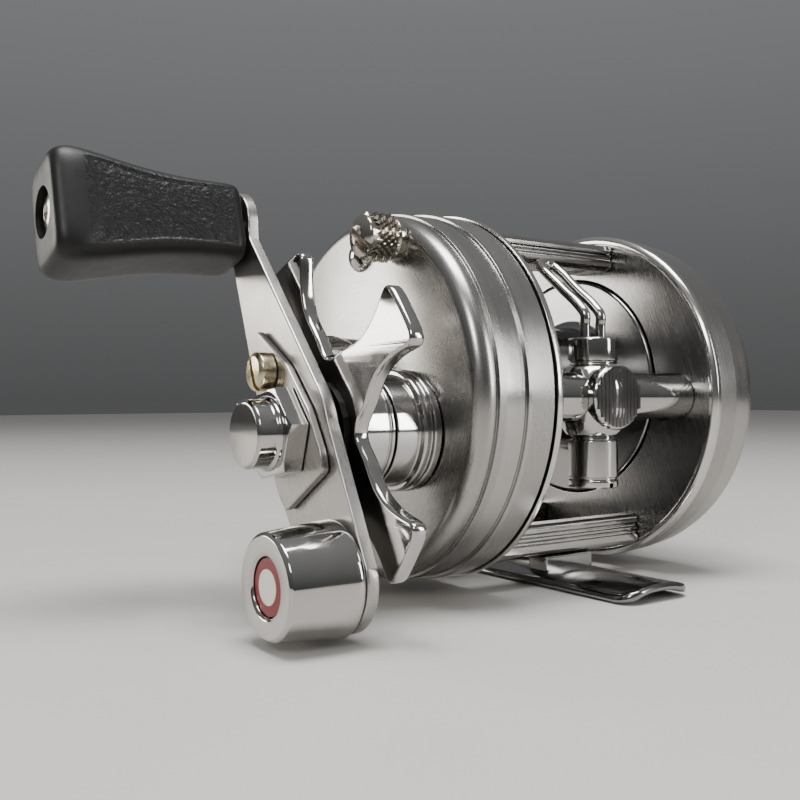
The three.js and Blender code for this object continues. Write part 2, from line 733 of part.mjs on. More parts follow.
function gearOutline(teeth, module, centreAngle) {
  const pitchRadius = (module * teeth) / 2;
  const baseRadius = pitchRadius * Math.cos(PRESSURE_DEG * RADIANS);
  const rootRadius = pitchRadius - DEDENDUM * module;
  const tipRadius = pitchRadius + ADDENDUM * module;
  const involute = (radius) => {
    const roll = Math.sqrt(Math.max((radius / baseRadius) ** 2, 1) - 1);
    return roll - Math.atan(roll);
  };
  const halfAtPitch = (TOOTH_SHARE * Math.PI) / teeth;
  const halfAngle = (radius) => halfAtPitch + involute(pitchRadius) - involute(radius);
  const radii = teeth > LARGE_WHEEL_TEETH ? [rootRadius, tipRadius] : [rootRadius, pitchRadius, tipRadius];
  const points = [];
  for (let tooth = 0; tooth < teeth; tooth++) {
    const middle = centreAngle + (2 * Math.PI * tooth) / teeth;
    const rising = radii.map((radius) => [radius, middle - halfAngle(radius)]);
    const falling = radii.map((radius) => [radius, middle + halfAngle(radius)]).reverse();
    for (const [radius, angle] of [...rising, ...falling]) {
      points.push(new THREE.Vector2(radius * Math.cos(angle), radius * Math.sin(angle)));
    }
  }
  return new THREE.Shape(points);
}

function spurGear(teeth, module, centreAngle, bore, from, to) {
  const outline = gearOutline(teeth, module, centreAngle);
  outline.holes.push(circleHole(bore));
  return flat(outline, from, to, SMALL / 2);
}

// Angle of the line from one axis to another in the crank side's own frame.
function bearingOf(from, to) {
  return Math.atan2(to.z - from.z, -(to.y - from.y));
}

const MAIN_GEAR_FROM = 4.2;
const MAIN_GEAR_TO = 5.8;
const PINION_FROM = 3.2;
const PINION_TO = 6.2;
const COG_FROM = 2.8;
const COG_TO = 3.8;
const PINION_NECK_RADIUS = 1.75;
const PINION_END = 8.3; // the yoke lifts it 1.2 towards its bearing
const PINION_COLLAR = 7.5;

const toSpool = bearingOf(CRANK_AXIS, SPOOL_AXIS);
const toWorm = bearingOf(CRANK_AXIS, WORM_AXIS);

onCrankSide(
  "main_gear",
  "brass",
  spurGear(MAIN_TEETH, GEAR_MODULE, toSpool, DRIVE_SHAFT_RADIUS + SLIP, MAIN_GEAR_FROM, MAIN_GEAR_TO),
  CRANK_AXIS,
);

// The pinion has a waist for the yoke and slides on the spool shaft.
function pinion() {
  const gapFacesGear = toSpool + Math.PI + Math.PI / PINION_TEETH;
  const bore = SPOOL_SHAFT_RADIUS + SLIP;
  const teeth = spurGear(PINION_TEETH, GEAR_MODULE, gapFacesGear, bore, PINION_FROM, PINION_TO);
  const waist = sleeve(bore, PINION_NECK_RADIUS, PINION_TO - JOINT_GAP, PINION_END, SMALL);
  const collar = sleeve(bore, (GEAR_MODULE * PINION_TEETH) / 2, PINION_COLLAR, PINION_END, SMALL);
  return join(teeth, waist, collar);
}
onCrankSide("pinion", "brass", pinion(), SPOOL_AXIS);

onCrankSide(
  "drive_cog",
  "brass",
  spurGear(DRIVE_COG_TEETH, COG_MODULE, toWorm, DRIVE_SHAFT_RADIUS + JOINT_GAP, COG_FROM, COG_TO),
  CRANK_AXIS,
);
onCrankSide(
  "worm_cog",
  "black",
  spurGear(
    WORM_COG_TEETH,
    COG_MODULE,
    toWorm + Math.PI + Math.PI / WORM_COG_TEETH,
    WORM_END_RADIUS + JOINT_GAP,
    COG_FROM,
    COG_TO,
  ),
  WORM_AXIS,
);

const DRAG_RADIUS = 8.4;
onCrankSide(
  "drag_washer_leather",
  "fibre",
  sleeve(DRIVE_SHAFT_RADIUS + SLIP, DRAG_RADIUS, MAIN_GEAR_TO + JOINT_GAP, MAIN_GEAR_TO + 0.6),
  CRANK_AXIS,
);
onCrankSide(
  "drag_washer_keyed",
  "steel",
  sleeve(DRIVE_SHAFT_RADIUS + JOINT_GAP, DRAG_RADIUS, MAIN_GEAR_TO + 0.8, MAIN_GEAR_TO + 1.3),
  CRANK_AXIS,
);

// Ratchet wheel: one straight and one sloping side to each tooth.
const RATCHET_TEETH = 12;
const RATCHET_TIP = 5;
const RATCHET_ROOT = 4.1;
const RATCHET_FROM = 7.6;
const RATCHET_TO = 8.4;

function ratchetWheel() {
  const outline = new THREE.Shape();
  for (let tooth = 0; tooth < RATCHET_TEETH; tooth++) {
    const angle = (2 * Math.PI * tooth) / RATCHET_TEETH;
    const tip = [RATCHET_TIP * Math.cos(angle), RATCHET_TIP * Math.sin(angle)];
    const root = [RATCHET_ROOT * Math.cos(angle), RATCHET_ROOT * Math.sin(angle)];
    if (tooth === 0) outline.moveTo(...root);
    else outline.lineTo(...root);
    outline.lineTo(...tip);
  }
  outline.holes.push(circleHole(DRIVE_SHAFT_RADIUS + JOINT_GAP));
  return flat(outline, RATCHET_FROM, RATCHET_TO, SMALL / 2);
}
onCrankSide("ratchet_wheel", "steel", ratchetWheel(), CRANK_AXIS);

// The dog's pivot stands on the side plate just outside the gear bridge.
const DOG_DISTANCE = 14.2; // from the crank axis
const DOG_PIVOT = polarFrom(CRANK_AXIS, DOG_DISTANCE, -62);
const DOG_PIN_RADIUS = 0.9;
const DOG_HALF_WIDTH = 1.1;
const DOG_CLEARANCE = 0.5; // from the ratchet's tips when the dog is lifted

function antiReverseDog() {
  const reach = DOG_DISTANCE - RATCHET_TIP - DOG_CLEARANCE;
  const outline = new THREE.Shape();
  outline.absarc(0, 0, DOG_PIN_RADIUS + 0.9, Math.PI / 4, (7 * Math.PI) / 4, false);
  outline.lineTo(reach - 1, -DOG_HALF_WIDTH);
  outline.lineTo(reach, 0);
  outline.lineTo(reach - 1, DOG_HALF_WIDTH);
  outline.holes.push(circleHole(DOG_PIN_RADIUS + SLIP));
  return flat(outline, RATCHET_FROM, RATCHET_TO, 8).rotateX(bearingOf(DOG_PIVOT, CRANK_AXIS));
}
onCrankSide("anti_reverse_dog", "steel", antiReverseDog(), DOG_PIVOT);
onCrankSide(
  "dog_pivot",
  "steel",
  rod(DOG_PIN_RADIUS, PLATE_THICKNESS + JOINT_GAP, RATCHET_TO + 0.4, 16),
  DOG_PIVOT,
);

// ---------------------------------------------------------------- gear bridge, yoke and button
const BRIDGE_FROM = 1.6;
const BRIDGE_TO = 2.4;
const BRIDGE_RADIUS = 18.1;
const POST_RADIUS = 0.9;
const YOKE_FROM = 6.45;
const YOKE_TO = 7.25;
const YOKE_HALF_WIDTH = 2.6;
const YOKE_SLOT_RADIUS = PINION_NECK_RADIUS + SLIP;

// Unit directions in the crank side's frame: from the crank axis to the spool axis, and square to it.
const along = { y: Math.cos(toSpool), z: Math.sin(toSpool) };
const across = { y: -along.z, z: along.y };
const yokeShift = 1;
const postPlaces = [-1, 1].map((side) => ({
  y: along.y * yokeShift + (across.y * side * YOKE_POST_SPACING) / 2,
  z: along.z * yokeShift + (across.z * side * YOKE_POST_SPACING) / 2,
}));

function gearBridge() {
  const outline = disc(BRIDGE_RADIUS);
  const toCrank = bearingOf(SPOOL_AXIS, CRANK_AXIS);
  const pinionClearance = (GEAR_MODULE * PINION_TEETH) / 2 + GEAR_MODULE + SLIP;
  outline.holes.push(
    circleHole(pinionClearance),
    circleHole(
      DRIVE_SHAFT_RADIUS + SLIP,
      CENTRE_DISTANCE * Math.cos(toCrank),
      CENTRE_DISTANCE * Math.sin(toCrank),
    ),
  );
  const cover = coverFace(CRANK_BAND_ENDS) - COVER_WALL - JOINT_GAP;
  const posts = postPlaces.map((at) =>
    rod(POST_RADIUS, BRIDGE_FROM + 0.2, cover, SMALL).translate(0, at.y, at.z),
  );
  return join(flat(outline, BRIDGE_FROM, BRIDGE_TO, SMALL), ...posts);
}
onCrankSide("gear_bridge", "steel", gearBridge(), SPOOL_AXIS);

// The yoke is a bar with a hole at each end for its post, an open slot round the pinion's waist,
// and a tab over the button's arm.
function yoke() {
  const half = YOKE_POST_SPACING / 2;
  const bar = new THREE.Shape();
  bar.absarc(half, 0, YOKE_HALF_WIDTH, -Math.PI / 2, Math.PI / 2, false);
  bar.absarc(-half, 0, YOKE_HALF_WIDTH, Math.PI / 2, (3 * Math.PI) / 2, false);
  bar.holes.push(circleHole(POST_RADIUS + SLIP, half, 0), circleHole(POST_RADIUS + SLIP, -half, 0));
  const lying = flat(bar, YOKE_FROM, YOKE_TO, 8).rotateX(toSpool + Math.PI / 2);
  const placed = lying.translate(0, along.y * yokeShift, along.z * yokeShift);
  const waist = rod(YOKE_SLOT_RADIUS, YOKE_FROM - CUT_OVERRUN, YOKE_TO + CUT_OVERRUN, SMALL);
  const mouth = block(
    YOKE_FROM - CUT_OVERRUN,
    YOKE_TO + CUT_OVERRUN,
    -YOKE_POST_SPACING / 2,
    0,
    -YOKE_SLOT_RADIUS,
    YOKE_SLOT_RADIUS,
  );
  const tabZ = BUTTON_Z - SPOOL_AXIS.z;
  const tab = block(YOKE_FROM, YOKE_TO, -8.5, -3, tabZ - 1.6, tabZ + 1.6);
  return cut(join(placed, tab), waist, mouth.rotateX(toSpool));
}
onCrankSide("pinion_yoke", "steel", yoke(), SPOOL_AXIS);

const SPRING_INNER = POST_RADIUS + SLIP;
const SPRING_OUTER = 1.6;
postPlaces.forEach((at, index) => {
  const place = { y: SPOOL_AXIS.y - at.y, z: SPOOL_AXIS.z + at.z };
  const end = coverFace(CRANK_BAND_ENDS) - COVER_WALL - JOINT_GAP;
  onCrankSide(
    `yoke_spring_${index + 1}`,
    "steel",
    sleeve(SPRING_INNER, SPRING_OUTER, YOKE_TO + JOINT_GAP, end, 16),
    place,
  );
});

// The button stands out of the back of the cover and carries a flat arm to the yoke's tab.
function pushButton() {
  const outer = -PLATE_RADIUS - 1.9;
  const inner = -PLATE_RADIUS + 3.4;
  const corner = 1.2;
  const outline = new THREE.Shape();
  outline.moveTo(BUTTON_FROM, inner);
  outline.lineTo(BUTTON_FROM, outer + corner);
  outline.quadraticCurveTo(BUTTON_FROM, outer, BUTTON_FROM + corner, outer);
  outline.lineTo(BUTTON_TO - corner, outer);
  outline.quadraticCurveTo(BUTTON_TO, outer, BUTTON_TO, outer + corner);
  outline.lineTo(BUTTON_TO, inner);
  const settings = { depth: 2 * BUTTON_HALF_HEIGHT, bevelEnabled: false, curveSegments: 6 };
  const body = new THREE.ExtrudeGeometry(outline, settings).translate(0, 0, BUTTON_Z - BUTTON_HALF_HEIGHT);
  const armEnd = -SPOOL_AXIS.y - 5.4;
  const arm = block(YOKE_FROM - 1.2, YOKE_FROM - 0.3, inner - 0.5, armEnd, BUTTON_Z - 1.5, BUTTON_Z + 1.5);
  return join(body, arm);
}
onCrankSide("free_spool_button", "bright", pushButton());

// ---------------------------------------------------------------- crank
const SHAFT_END = ARM_BACK + ARM_THICKNESS + LOCK_PLATE_THICKNESS + 2 * JOINT_GAP;
onCrankSide(
  "drive_shaft",
  "steel",
  rod(DRIVE_SHAFT_RADIUS, BRIDGE_FROM - JOINT_GAP, SHAFT_END, 24),
  CRANK_AXIS,
);

const STAR_HUB_INNER = DRIVE_SHAFT_RADIUS + SLIP;

// The star's outline: flared tips joined by hollow curves.
function starWheel() {
  const outline = new THREE.Shape();
  const step = (2 * Math.PI) / STAR_ARMS;
  const tipHalf = 0.148; // half angle of a tip
  const waistRadius = STAR_TIP_RADIUS * 0.62;
  const waistHalf = 0.155;
  const point = (radius, angle) => [radius * Math.cos(angle), radius * Math.sin(angle)];
  for (let arm = 0; arm < STAR_ARMS; arm++) {
    const middle = STAR_FIRST_ARM_DEG * RADIANS + arm * step;
    const valley = point(STAR_VALLEY_RADIUS, middle - step / 2);
    if (arm === 0) outline.moveTo(...valley);
    outline.quadraticCurveTo(
      ...point(STAR_VALLEY_RADIUS * 1.12, middle - step * 0.3),
      ...point(waistRadius, middle - waistHalf),
    );
    outline.lineTo(...point(STAR_TIP_RADIUS, middle - tipHalf));
    outline.lineTo(...point(STAR_TIP_RADIUS, middle + tipHalf));
    outline.lineTo(...point(waistRadius, middle + waistHalf));
    outline.quadraticCurveTo(
      ...point(STAR_VALLEY_RADIUS * 1.12, middle + step * 0.3),
      ...point(STAR_VALLEY_RADIUS, middle + step / 2),
    );
  }
  outline.holes.push(circleHole(STAR_HUB_INNER));
  const hub = sleeve(STAR_HUB_INNER, BOSS_RADIUS, BOSS_END + 2 * SLIP, STAR_BACK + 0.2);
  return join(flat(outline, STAR_BACK, STAR_BACK + STAR_THICKNESS, 6), hub);
}
onCrankSide("star_wheel", "chrome", starWheel(), CRANK_AXIS);

onCrankSide(
  "handle_spacer",
  "black",
  sleeve(
    DRIVE_SHAFT_RADIUS + JOINT_GAP,
    SPACER_RADIUS,
    STAR_BACK + STAR_THICKNESS + 2 * SLIP,
    ARM_BACK - JOINT_GAP,
  ),
  CRANK_AXIS,
);

// The handle group has its +Y along the arm towards the knob.
const handle = new THREE.Group();
handle.position.set(0, -CRANK_AXIS.y, CRANK_AXIS.z);
handle.rotation.x = (90 + ARM_LEAN_DEG) * RADIANS;
crankSide.add(handle);
const onHandle = (name, material, geometry, y = 0) => add(handle, name, material, geometry, 0, y, 0);
const ARM_FRONT = ARM_BACK + ARM_THICKNESS;

function handleArm() {
  const outline = new THREE.Shape();
  const end = KNOB_THROW + KNOB_END_OFFSET;
  const neck = end - KNOB_END_RADIUS - 0.3;
  const neckAngle = Math.atan2(ARM_NECK_HALF_WIDTH, -KNOB_END_RADIUS);
  const heel = Math.atan2(1, -0.25);
  outline.moveTo(0, -ARM_HUB_HALF_WIDTH);
  outline.lineTo(neck, -ARM_NECK_HALF_WIDTH);
  outline.absarc(end, 0, KNOB_END_RADIUS, -neckAngle, neckAngle, false);
  outline.lineTo(neck, ARM_NECK_HALF_WIDTH);
  outline.lineTo(0, ARM_HUB_HALF_WIDTH);
  outline.absarc(-WEIGHT_THROW, 0, WEIGHT_END_RADIUS, heel, 2 * Math.PI - heel, false);
  outline.holes.push(
    circleHole(DRIVE_SHAFT_RADIUS + JOINT_GAP),
    circleHole(SPINDLE_RADIUS + JOINT_GAP / 2, KNOB_THROW, 0),
  );
  return flat(outline, ARM_BACK, ARM_FRONT, 12);
}
onHandle("handle_arm", "satin", handleArm());

// The lock plate is pointed towards the knob and cut off square behind the nut.
const LOCK_PLATE_POINT = 14.2;
const LOCK_PLATE_TAIL = 7.5;
const LOCK_SCREW_Y = 8.3;
const LOCK_SCREW_RADIUS = 2.3;
const LOCK_SCREW_HEIGHT = 2.2;
const LOCK_PLATE_FRONT = ARM_FRONT + JOINT_GAP + LOCK_PLATE_THICKNESS;

function lockPlate() {
  const slope = (ARM_HUB_HALF_WIDTH - ARM_NECK_HALF_WIDTH) / KNOB_THROW;
  const half = (y) => ARM_HUB_HALF_WIDTH - 1.9 - slope * Math.max(y, 0);
  const outline = new THREE.Shape();
  outline.moveTo(-LOCK_PLATE_TAIL, -half(0) + 0.6);
  outline.lineTo(-LOCK_PLATE_TAIL + 2, -half(0));
  outline.lineTo(0, -half(0));
  outline.lineTo(LOCK_SCREW_Y - 1.5, -half(LOCK_SCREW_Y) + 0.4);
  outline.lineTo(LOCK_PLATE_POINT, 0);
  outline.lineTo(LOCK_SCREW_Y - 1.5, half(LOCK_SCREW_Y) - 0.4);
  outline.lineTo(0, half(0));
  outline.lineTo(-LOCK_PLATE_TAIL + 2, half(0));
  outline.lineTo(-LOCK_PLATE_TAIL, half(0) - 0.6);
  outline.holes.push(circleHole(DRIVE_SHAFT_RADIUS + JOINT_GAP));
  return flat(outline, ARM_FRONT + JOINT_GAP, LOCK_PLATE_FRONT, 10);
}
onHandle("lock_plate", "bright", lockPlate());

function lockScrew() {
  const front = LOCK_PLATE_FRONT + LOCK_SCREW_HEIGHT;
  const slotHalfWidth = 0.3;
  const slotReach = LOCK_SCREW_RADIUS + CUT_OVERRUN;
  const head = turned(
    [
      [0, LOCK_PLATE_FRONT + JOINT_GAP],
      [LOCK_SCREW_RADIUS, LOCK_PLATE_FRONT + JOINT_GAP],
      [LOCK_SCREW_RADIUS, front - 0.5],
      [LOCK_SCREW_RADIUS - 0.5, front - 0.1],
      [0, front],
    ],
    SMALL,
  );
  const slot = block(front - 0.9, front + CUT_OVERRUN, -slotReach, slotReach, -slotHalfWidth, slotHalfWidth);
  return cut(head, slot.rotateX(-70 * RADIANS));
}
onHandle("lock_screw", "brass", lockScrew(), LOCK_SCREW_Y);

function handleNut() {
  const from = LOCK_PLATE_FRONT + JOINT_GAP;
  const hexTo = from + NUT_HEX_HEIGHT;
  const hex = rod(NUT_HEX_RADIUS, from, hexTo, 6).rotateX(12 * RADIANS);
  const cap = turned(
    [
      [0, from + 0.5],
      [NUT_CAP_RADIUS, from + 0.5],
      [NUT_CAP_RADIUS, hexTo + NUT_CAP_HEIGHT - 0.3],
      [NUT_CAP_RADIUS - 0.3, hexTo + NUT_CAP_HEIGHT],
      [0, hexTo + NUT_CAP_HEIGHT],
    ],
    ROUND,
  );
  const socket = rod(DRIVE_SHAFT_RADIUS + JOINT_GAP, 0, SHAFT_END + 0.5, SMALL);
  return cut(join(hex, cap), socket);
}
onHandle("handle_nut", "chrome", handleNut());

function counterweight() {
  const from = ARM_FRONT + JOINT_GAP;
  const to = from + WEIGHT_LENGTH;
  const edge = 0.4;
  return turned(
    [
      [0, from],
      [WEIGHT_REAR_RADIUS - edge, from],
      [WEIGHT_REAR_RADIUS, from + edge],
      [WEIGHT_FRONT_RADIUS + 0.1, to - edge],
      [WEIGHT_FRONT_RADIUS - edge, to],
      [BADGE_RADIUS + JOINT_GAP, to],
      [BADGE_RADIUS + JOINT_GAP, to - BADGE_RECESS],
      [0, to - BADGE_RECESS],
    ],
    ROUND,
  );
}
onHandle("counterweight", "chrome", counterweight(), -WEIGHT_THROW);

const WEIGHT_FRONT = ARM_FRONT + JOINT_GAP + WEIGHT_LENGTH;
onHandle(
  "counterweight_badge",
  "red",
  rod(BADGE_RADIUS, WEIGHT_FRONT - BADGE_RECESS + JOINT_GAP, WEIGHT_FRONT - 0.3, 28),
  -WEIGHT_THROW,
);

// The knob's spindle is riveted in the arm and headed over in the knob's end.
const KNOB_FROM = ARM_FRONT + KNOB_GAP;
const KNOB_TO = KNOB_FROM + KNOB_LENGTH;
const KNOB_END_POCKET = 1.6;
const POCKET_RADIUS = 3;

function knobSpindle() {
  const headFrom = KNOB_TO - KNOB_END_POCKET + 2 * SLIP;
  return turned(
    [
      [0, ARM_BACK - 0.3],
      [SPINDLE_RADIUS, ARM_BACK - 0.3],
      [SPINDLE_RADIUS, headFrom],
      [SPINDLE_HEAD_RADIUS, headFrom],
      [SPINDLE_HEAD_RADIUS * 0.8, headFrom + 0.7],
      [0, headFrom + 0.9],
    ],
    24,
  );
}
onHandle("knob_spindle", "steel", knobSpindle(), KNOB_THROW);

// The knob is lofted through rounded rectangles: wide at the outer end, with a slight waist.
function knob() {
  const stations = [
    [0, KNOB_BASE_HALF_HEIGHT - 1.3, KNOB_HALF_THICKNESS - 1.3],
    [0.06, KNOB_BASE_HALF_HEIGHT, KNOB_HALF_THICKNESS],
    [0.42, KNOB_WAIST_HALF_HEIGHT, KNOB_HALF_THICKNESS],
    [0.85, KNOB_END_HALF_HEIGHT, KNOB_HALF_THICKNESS + 0.3],
    [0.95, KNOB_END_HALF_HEIGHT - 0.3, KNOB_HALF_THICKNESS],
    [1, KNOB_END_HALF_HEIGHT - 1.6, KNOB_HALF_THICKNESS - 1.2],
  ];
  const sides = 20;
  const corner = 0.45; // exponent of a rounded rectangle: 1 gives an ellipse
  const power = (value) => Math.sign(value) * Math.abs(value) ** corner;
  const positions = [];
  const ring = (station) => {
    const [share, halfHeight, halfThickness] = station;
    return Array.from({ length: sides }, (_, side) => {
      const angle = (2 * Math.PI * side) / sides;
      return [
        KNOB_FROM + share * KNOB_LENGTH,
        halfThickness * power(Math.cos(angle)),
        halfHeight * power(Math.sin(angle)),
      ];
    });
  };
  const rings = stations.map(ring);
  const triangle = (...points) => points.forEach((point) => positions.push(...point));
  for (let station = 0; station + 1 < rings.length; station++) {
    for (let side = 0; side < sides; side++) {
      const next = (side + 1) % sides;
      const [near, far] = [rings[station], rings[station + 1]];
      triangle(near[side], near[next], far[next]);
      triangle(near[side], far[next], far[side]);
    }
  }
  const first = [KNOB_FROM, 0, 0];
  const last = [KNOB_TO, 0, 0];
  for (let side = 0; side < sides; side++) {
    const next = (side + 1) % sides;
    triangle(first, rings[0][next], rings[0][side]);
    triangle(last, rings.at(-1)[side], rings.at(-1)[next]);
  }
  const corners = new THREE.Float32BufferAttribute(positions, 3);
  const body = new THREE.BufferGeometry().setAttribute("position", corners);
  const bore = rod(SPINDLE_RADIUS + SLIP, KNOB_FROM - 1, KNOB_TO + 1, SMALL);
  const pocket = rod(POCKET_RADIUS, KNOB_TO - KNOB_END_POCKET, KNOB_TO + 1, 24);
  return cut(body, bore, pocket);
}
// The knob has turned on its spindle, so it doesn't lean with the arm.
const knobMesh = onHandle("knob", "black", knob(), KNOB_THROW);
knobMesh.rotation.x = -(90 + ARM_LEAN_DEG - KNOB_TILT_DEG) * RADIANS;

// ---------------------------------------------------------------- level wind
const SLOT_HALF_WIDTH = 1.35;
const PAWL_RADIUS = 1.1;

function wormTube() {
  const half = FRAME_GAP / 2 + PLATE_THICKNESS - JOINT_GAP;
  const wall = half - TUBE_END_WALL;
  const inner = TUBE_RADIUS - TUBE_WALL;
  const end = WORM_END_RADIUS + SLIP;
  const body = turned(
    [
      [end, -half],
      [TUBE_RADIUS, -half],
      [TUBE_RADIUS, half],
      [end, half],
      [end, wall],
      [inner, wall],
      [inner, -wall],
      [end, -wall],
      [end, -half],
    ],
    24,
  );
  const slotHalfLength = CARRIAGE_TRAVEL + 2 * PAWL_RADIUS;
  const slot = block(
    -slotHalfLength,
    slotHalfLength,
    -SLOT_HALF_WIDTH,
    SLOT_HALF_WIDTH,
    -TUBE_RADIUS - CUT_OVERRUN,
    0,
  );
  return cut(body, slot);
}
between("level_wind_tube", "bright", wormTube(), WORM_AXIS);

function wormShaft() {
  const thread = FRAME_GAP / 2 + PLATE_THICKNESS - JOINT_GAP - TUBE_END_WALL - 2 * SLIP;
  const crankEnd = -(FRAME_GAP / 2 + COG_TO + 0.4);
  const tailEnd = FRAME_GAP / 2 + PLATE_THICKNESS + 0.8;
  return turned(
    [
      [0, crankEnd],
      [WORM_END_RADIUS, crankEnd],
      [WORM_END_RADIUS, -thread],
      [WORM_RADIUS, -thread],
      [WORM_RADIUS, thread],
      [WORM_END_RADIUS, thread],
      [WORM_END_RADIUS, tailEnd],
      [0, tailEnd],
    ],
    SMALL,
  );
}
between("worm_shaft", "steel", wormShaft(), WORM_AXIS);

const UPRIGHT = Math.PI / 2; // turns a piece of revolution from X to Z

function carriage() {
  const neckZ = -5;
  const body = turned(
    [
      [0, neckZ],
      [3.5, neckZ],
      [CARRIAGE_RADIUS, -2],
      [CARRIAGE_RADIUS, 1.6],
      [COLLAR_RADIUS, 4.6],
      [COLLAR_RADIUS, COLLAR_TOP],
      [0, COLLAR_TOP],
    ],
    24,
  ).rotateY(-UPRIGHT);
  const pad = rod(PAD_RADIUS + 0.3, 0, PAD_REACH, 24).rotateZ(-UPRIGHT);
  const tubeBore = rod(TUBE_RADIUS + SLIP, -2 * CARRIAGE_RADIUS, 2 * CARRIAGE_RADIUS, 24);
  const pawlBore = rod(PAWL_RADIUS + SLIP, neckZ - CUT_OVERRUN, 0, SMALL).rotateY(-UPRIGHT);
  return cut(join(body, pad), tubeBore, pawlBore);
}
between("line_guide_carriage", "chrome", carriage(), WORM_AXIS, CARRIAGE_REST_X);

const PAWL_CAP_TOP = -5.1;
const PAWL_CAP_RADIUS = 3.25;

function pawlCap() {
  const bore = PAWL_RADIUS + SLIP;
  const floor = -PAWL_CAP_END + 1.2;
  return turned(
    [
      [0, -PAWL_CAP_END],
      [PAWL_CAP_RADIUS - 0.4, -PAWL_CAP_END],
      [PAWL_CAP_RADIUS, -PAWL_CAP_END + 0.4],
      [PAWL_CAP_RADIUS, PAWL_CAP_TOP],
      [bore, PAWL_CAP_TOP],
      [bore, floor],
      [0, floor],
    ],
    28,
  ).rotateY(-UPRIGHT);
}
between("pawl_cap", "chrome", pawlCap(), WORM_AXIS, CARRIAGE_REST_X);

function pawl() {
  const tip = -WORM_RADIUS - SLIP;
  return rod(PAWL_RADIUS, -PAWL_CAP_END + 1.2 + JOINT_GAP, tip, 16).rotateY(-UPRIGHT);
}
between("pawl", "steel", pawl(), WORM_AXIS, CARRIAGE_REST_X);

// One bent wire: up from the collar, back over the spool, round a hairpin and down again.
function guideWire() {
  const half = WIRE_SPACING / 2;
  const base = COLLAR_TOP + JOINT_GAP;
  const leg = [
    [0, base],
    [0, base + 1.6],
    [0, base + 3],
    [0.9, base + 4.1],
    [4.2, base + 6.8],
    [7.8, base + 9.8],
  ];
  const peak = [8.9, base + 10.7];
  const points = [
    ...leg.map(([y, z]) => new THREE.Vector3(-half, y, z)),
    new THREE.Vector3(-half * 0.6, ...peak),
    new THREE.Vector3(half * 0.6, ...peak),
    ...leg.reverse().map(([y, z]) => new THREE.Vector3(half, y, z)),
  ];
  const path = new THREE.CatmullRomCurve3(points, false, "centripetal");
  const section = new THREE.Shape().absarc(0, 0, WIRE_RADIUS, 0, 2 * Math.PI, false);
  return new THREE.ExtrudeGeometry(section, { steps: 28, curveSegments: 3, extrudePath: path });
}
between("guide_wire", "chrome", guideWire(), WORM_AXIS, CARRIAGE_REST_X);

export default reel;
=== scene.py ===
"""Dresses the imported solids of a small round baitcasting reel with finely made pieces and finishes."""

import json
import math

import bmesh
import bpy
from mathutils import Matrix, Vector


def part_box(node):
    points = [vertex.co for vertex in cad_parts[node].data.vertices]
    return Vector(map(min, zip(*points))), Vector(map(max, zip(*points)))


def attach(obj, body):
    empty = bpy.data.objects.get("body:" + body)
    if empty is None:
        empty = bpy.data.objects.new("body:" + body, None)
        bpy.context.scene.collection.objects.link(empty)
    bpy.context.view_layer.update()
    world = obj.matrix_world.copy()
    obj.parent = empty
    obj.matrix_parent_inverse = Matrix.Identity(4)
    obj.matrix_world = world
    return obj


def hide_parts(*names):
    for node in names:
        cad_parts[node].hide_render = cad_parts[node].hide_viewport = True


bl_info = {
    "name": "Round baitcasting reel",
    "version": (1, 0, 0),
    "blender": (4, 5, 0),
    "location": "3D view > Sidebar > Reel",
    "description": "Builds the visible pieces of a round baitcasting reel round its packed solids",
    "category": "Object",
}

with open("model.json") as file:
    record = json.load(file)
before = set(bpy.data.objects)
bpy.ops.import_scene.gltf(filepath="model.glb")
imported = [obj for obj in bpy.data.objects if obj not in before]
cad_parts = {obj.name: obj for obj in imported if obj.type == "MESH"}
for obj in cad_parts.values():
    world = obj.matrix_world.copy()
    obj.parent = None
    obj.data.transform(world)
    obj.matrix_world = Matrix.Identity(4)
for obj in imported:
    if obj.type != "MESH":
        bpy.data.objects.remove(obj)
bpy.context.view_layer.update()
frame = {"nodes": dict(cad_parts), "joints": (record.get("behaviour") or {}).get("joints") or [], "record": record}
RECORD = frame["record"]
MM = 0.001
FULL_TURN = 2 * math.pi


# ---------------------------------------------------------------- places read from the frame
class Box:
    """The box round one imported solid, in metres."""

    def __init__(self, node):
        self.low, self.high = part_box(node)
        self.middle = (self.low + self.high) / 2
        self.size = self.high - self.low


def axis_of(joint):
    """Where a joint's axis runs, as a (y, z) pair."""
    place = next(j for j in frame["joints"] if j["name"] == joint)["pos_m"]
    return place[1], place[2]


CRANK = axis_of("crank_turn")
SPOOL = axis_of("spool_turn")
WORM = axis_of("worm_turn")
KNOB = axis_of("knob_spin")
KNOB_TILT = math.radians(16)  # its front face is turned this far upwards
CRANK_PLATE = Box("crank_side_plate")
DISC = (CRANK_PLATE.middle.y, CRANK_PLATE.middle.z)
PLATE_RADIUS = CRANK_PLATE.size.z / 2
ARM_ANGLE = math.atan2(KNOB[1] - CRANK[1], KNOB[0] - CRANK[0])
BODY_OF = {node: body for body, nodes in RECORD["behaviour"]["bodies"].items() for node in nodes}
SLOT_OF = {piece["node"]: piece["material_slot"] for piece in RECORD["subparts"]}


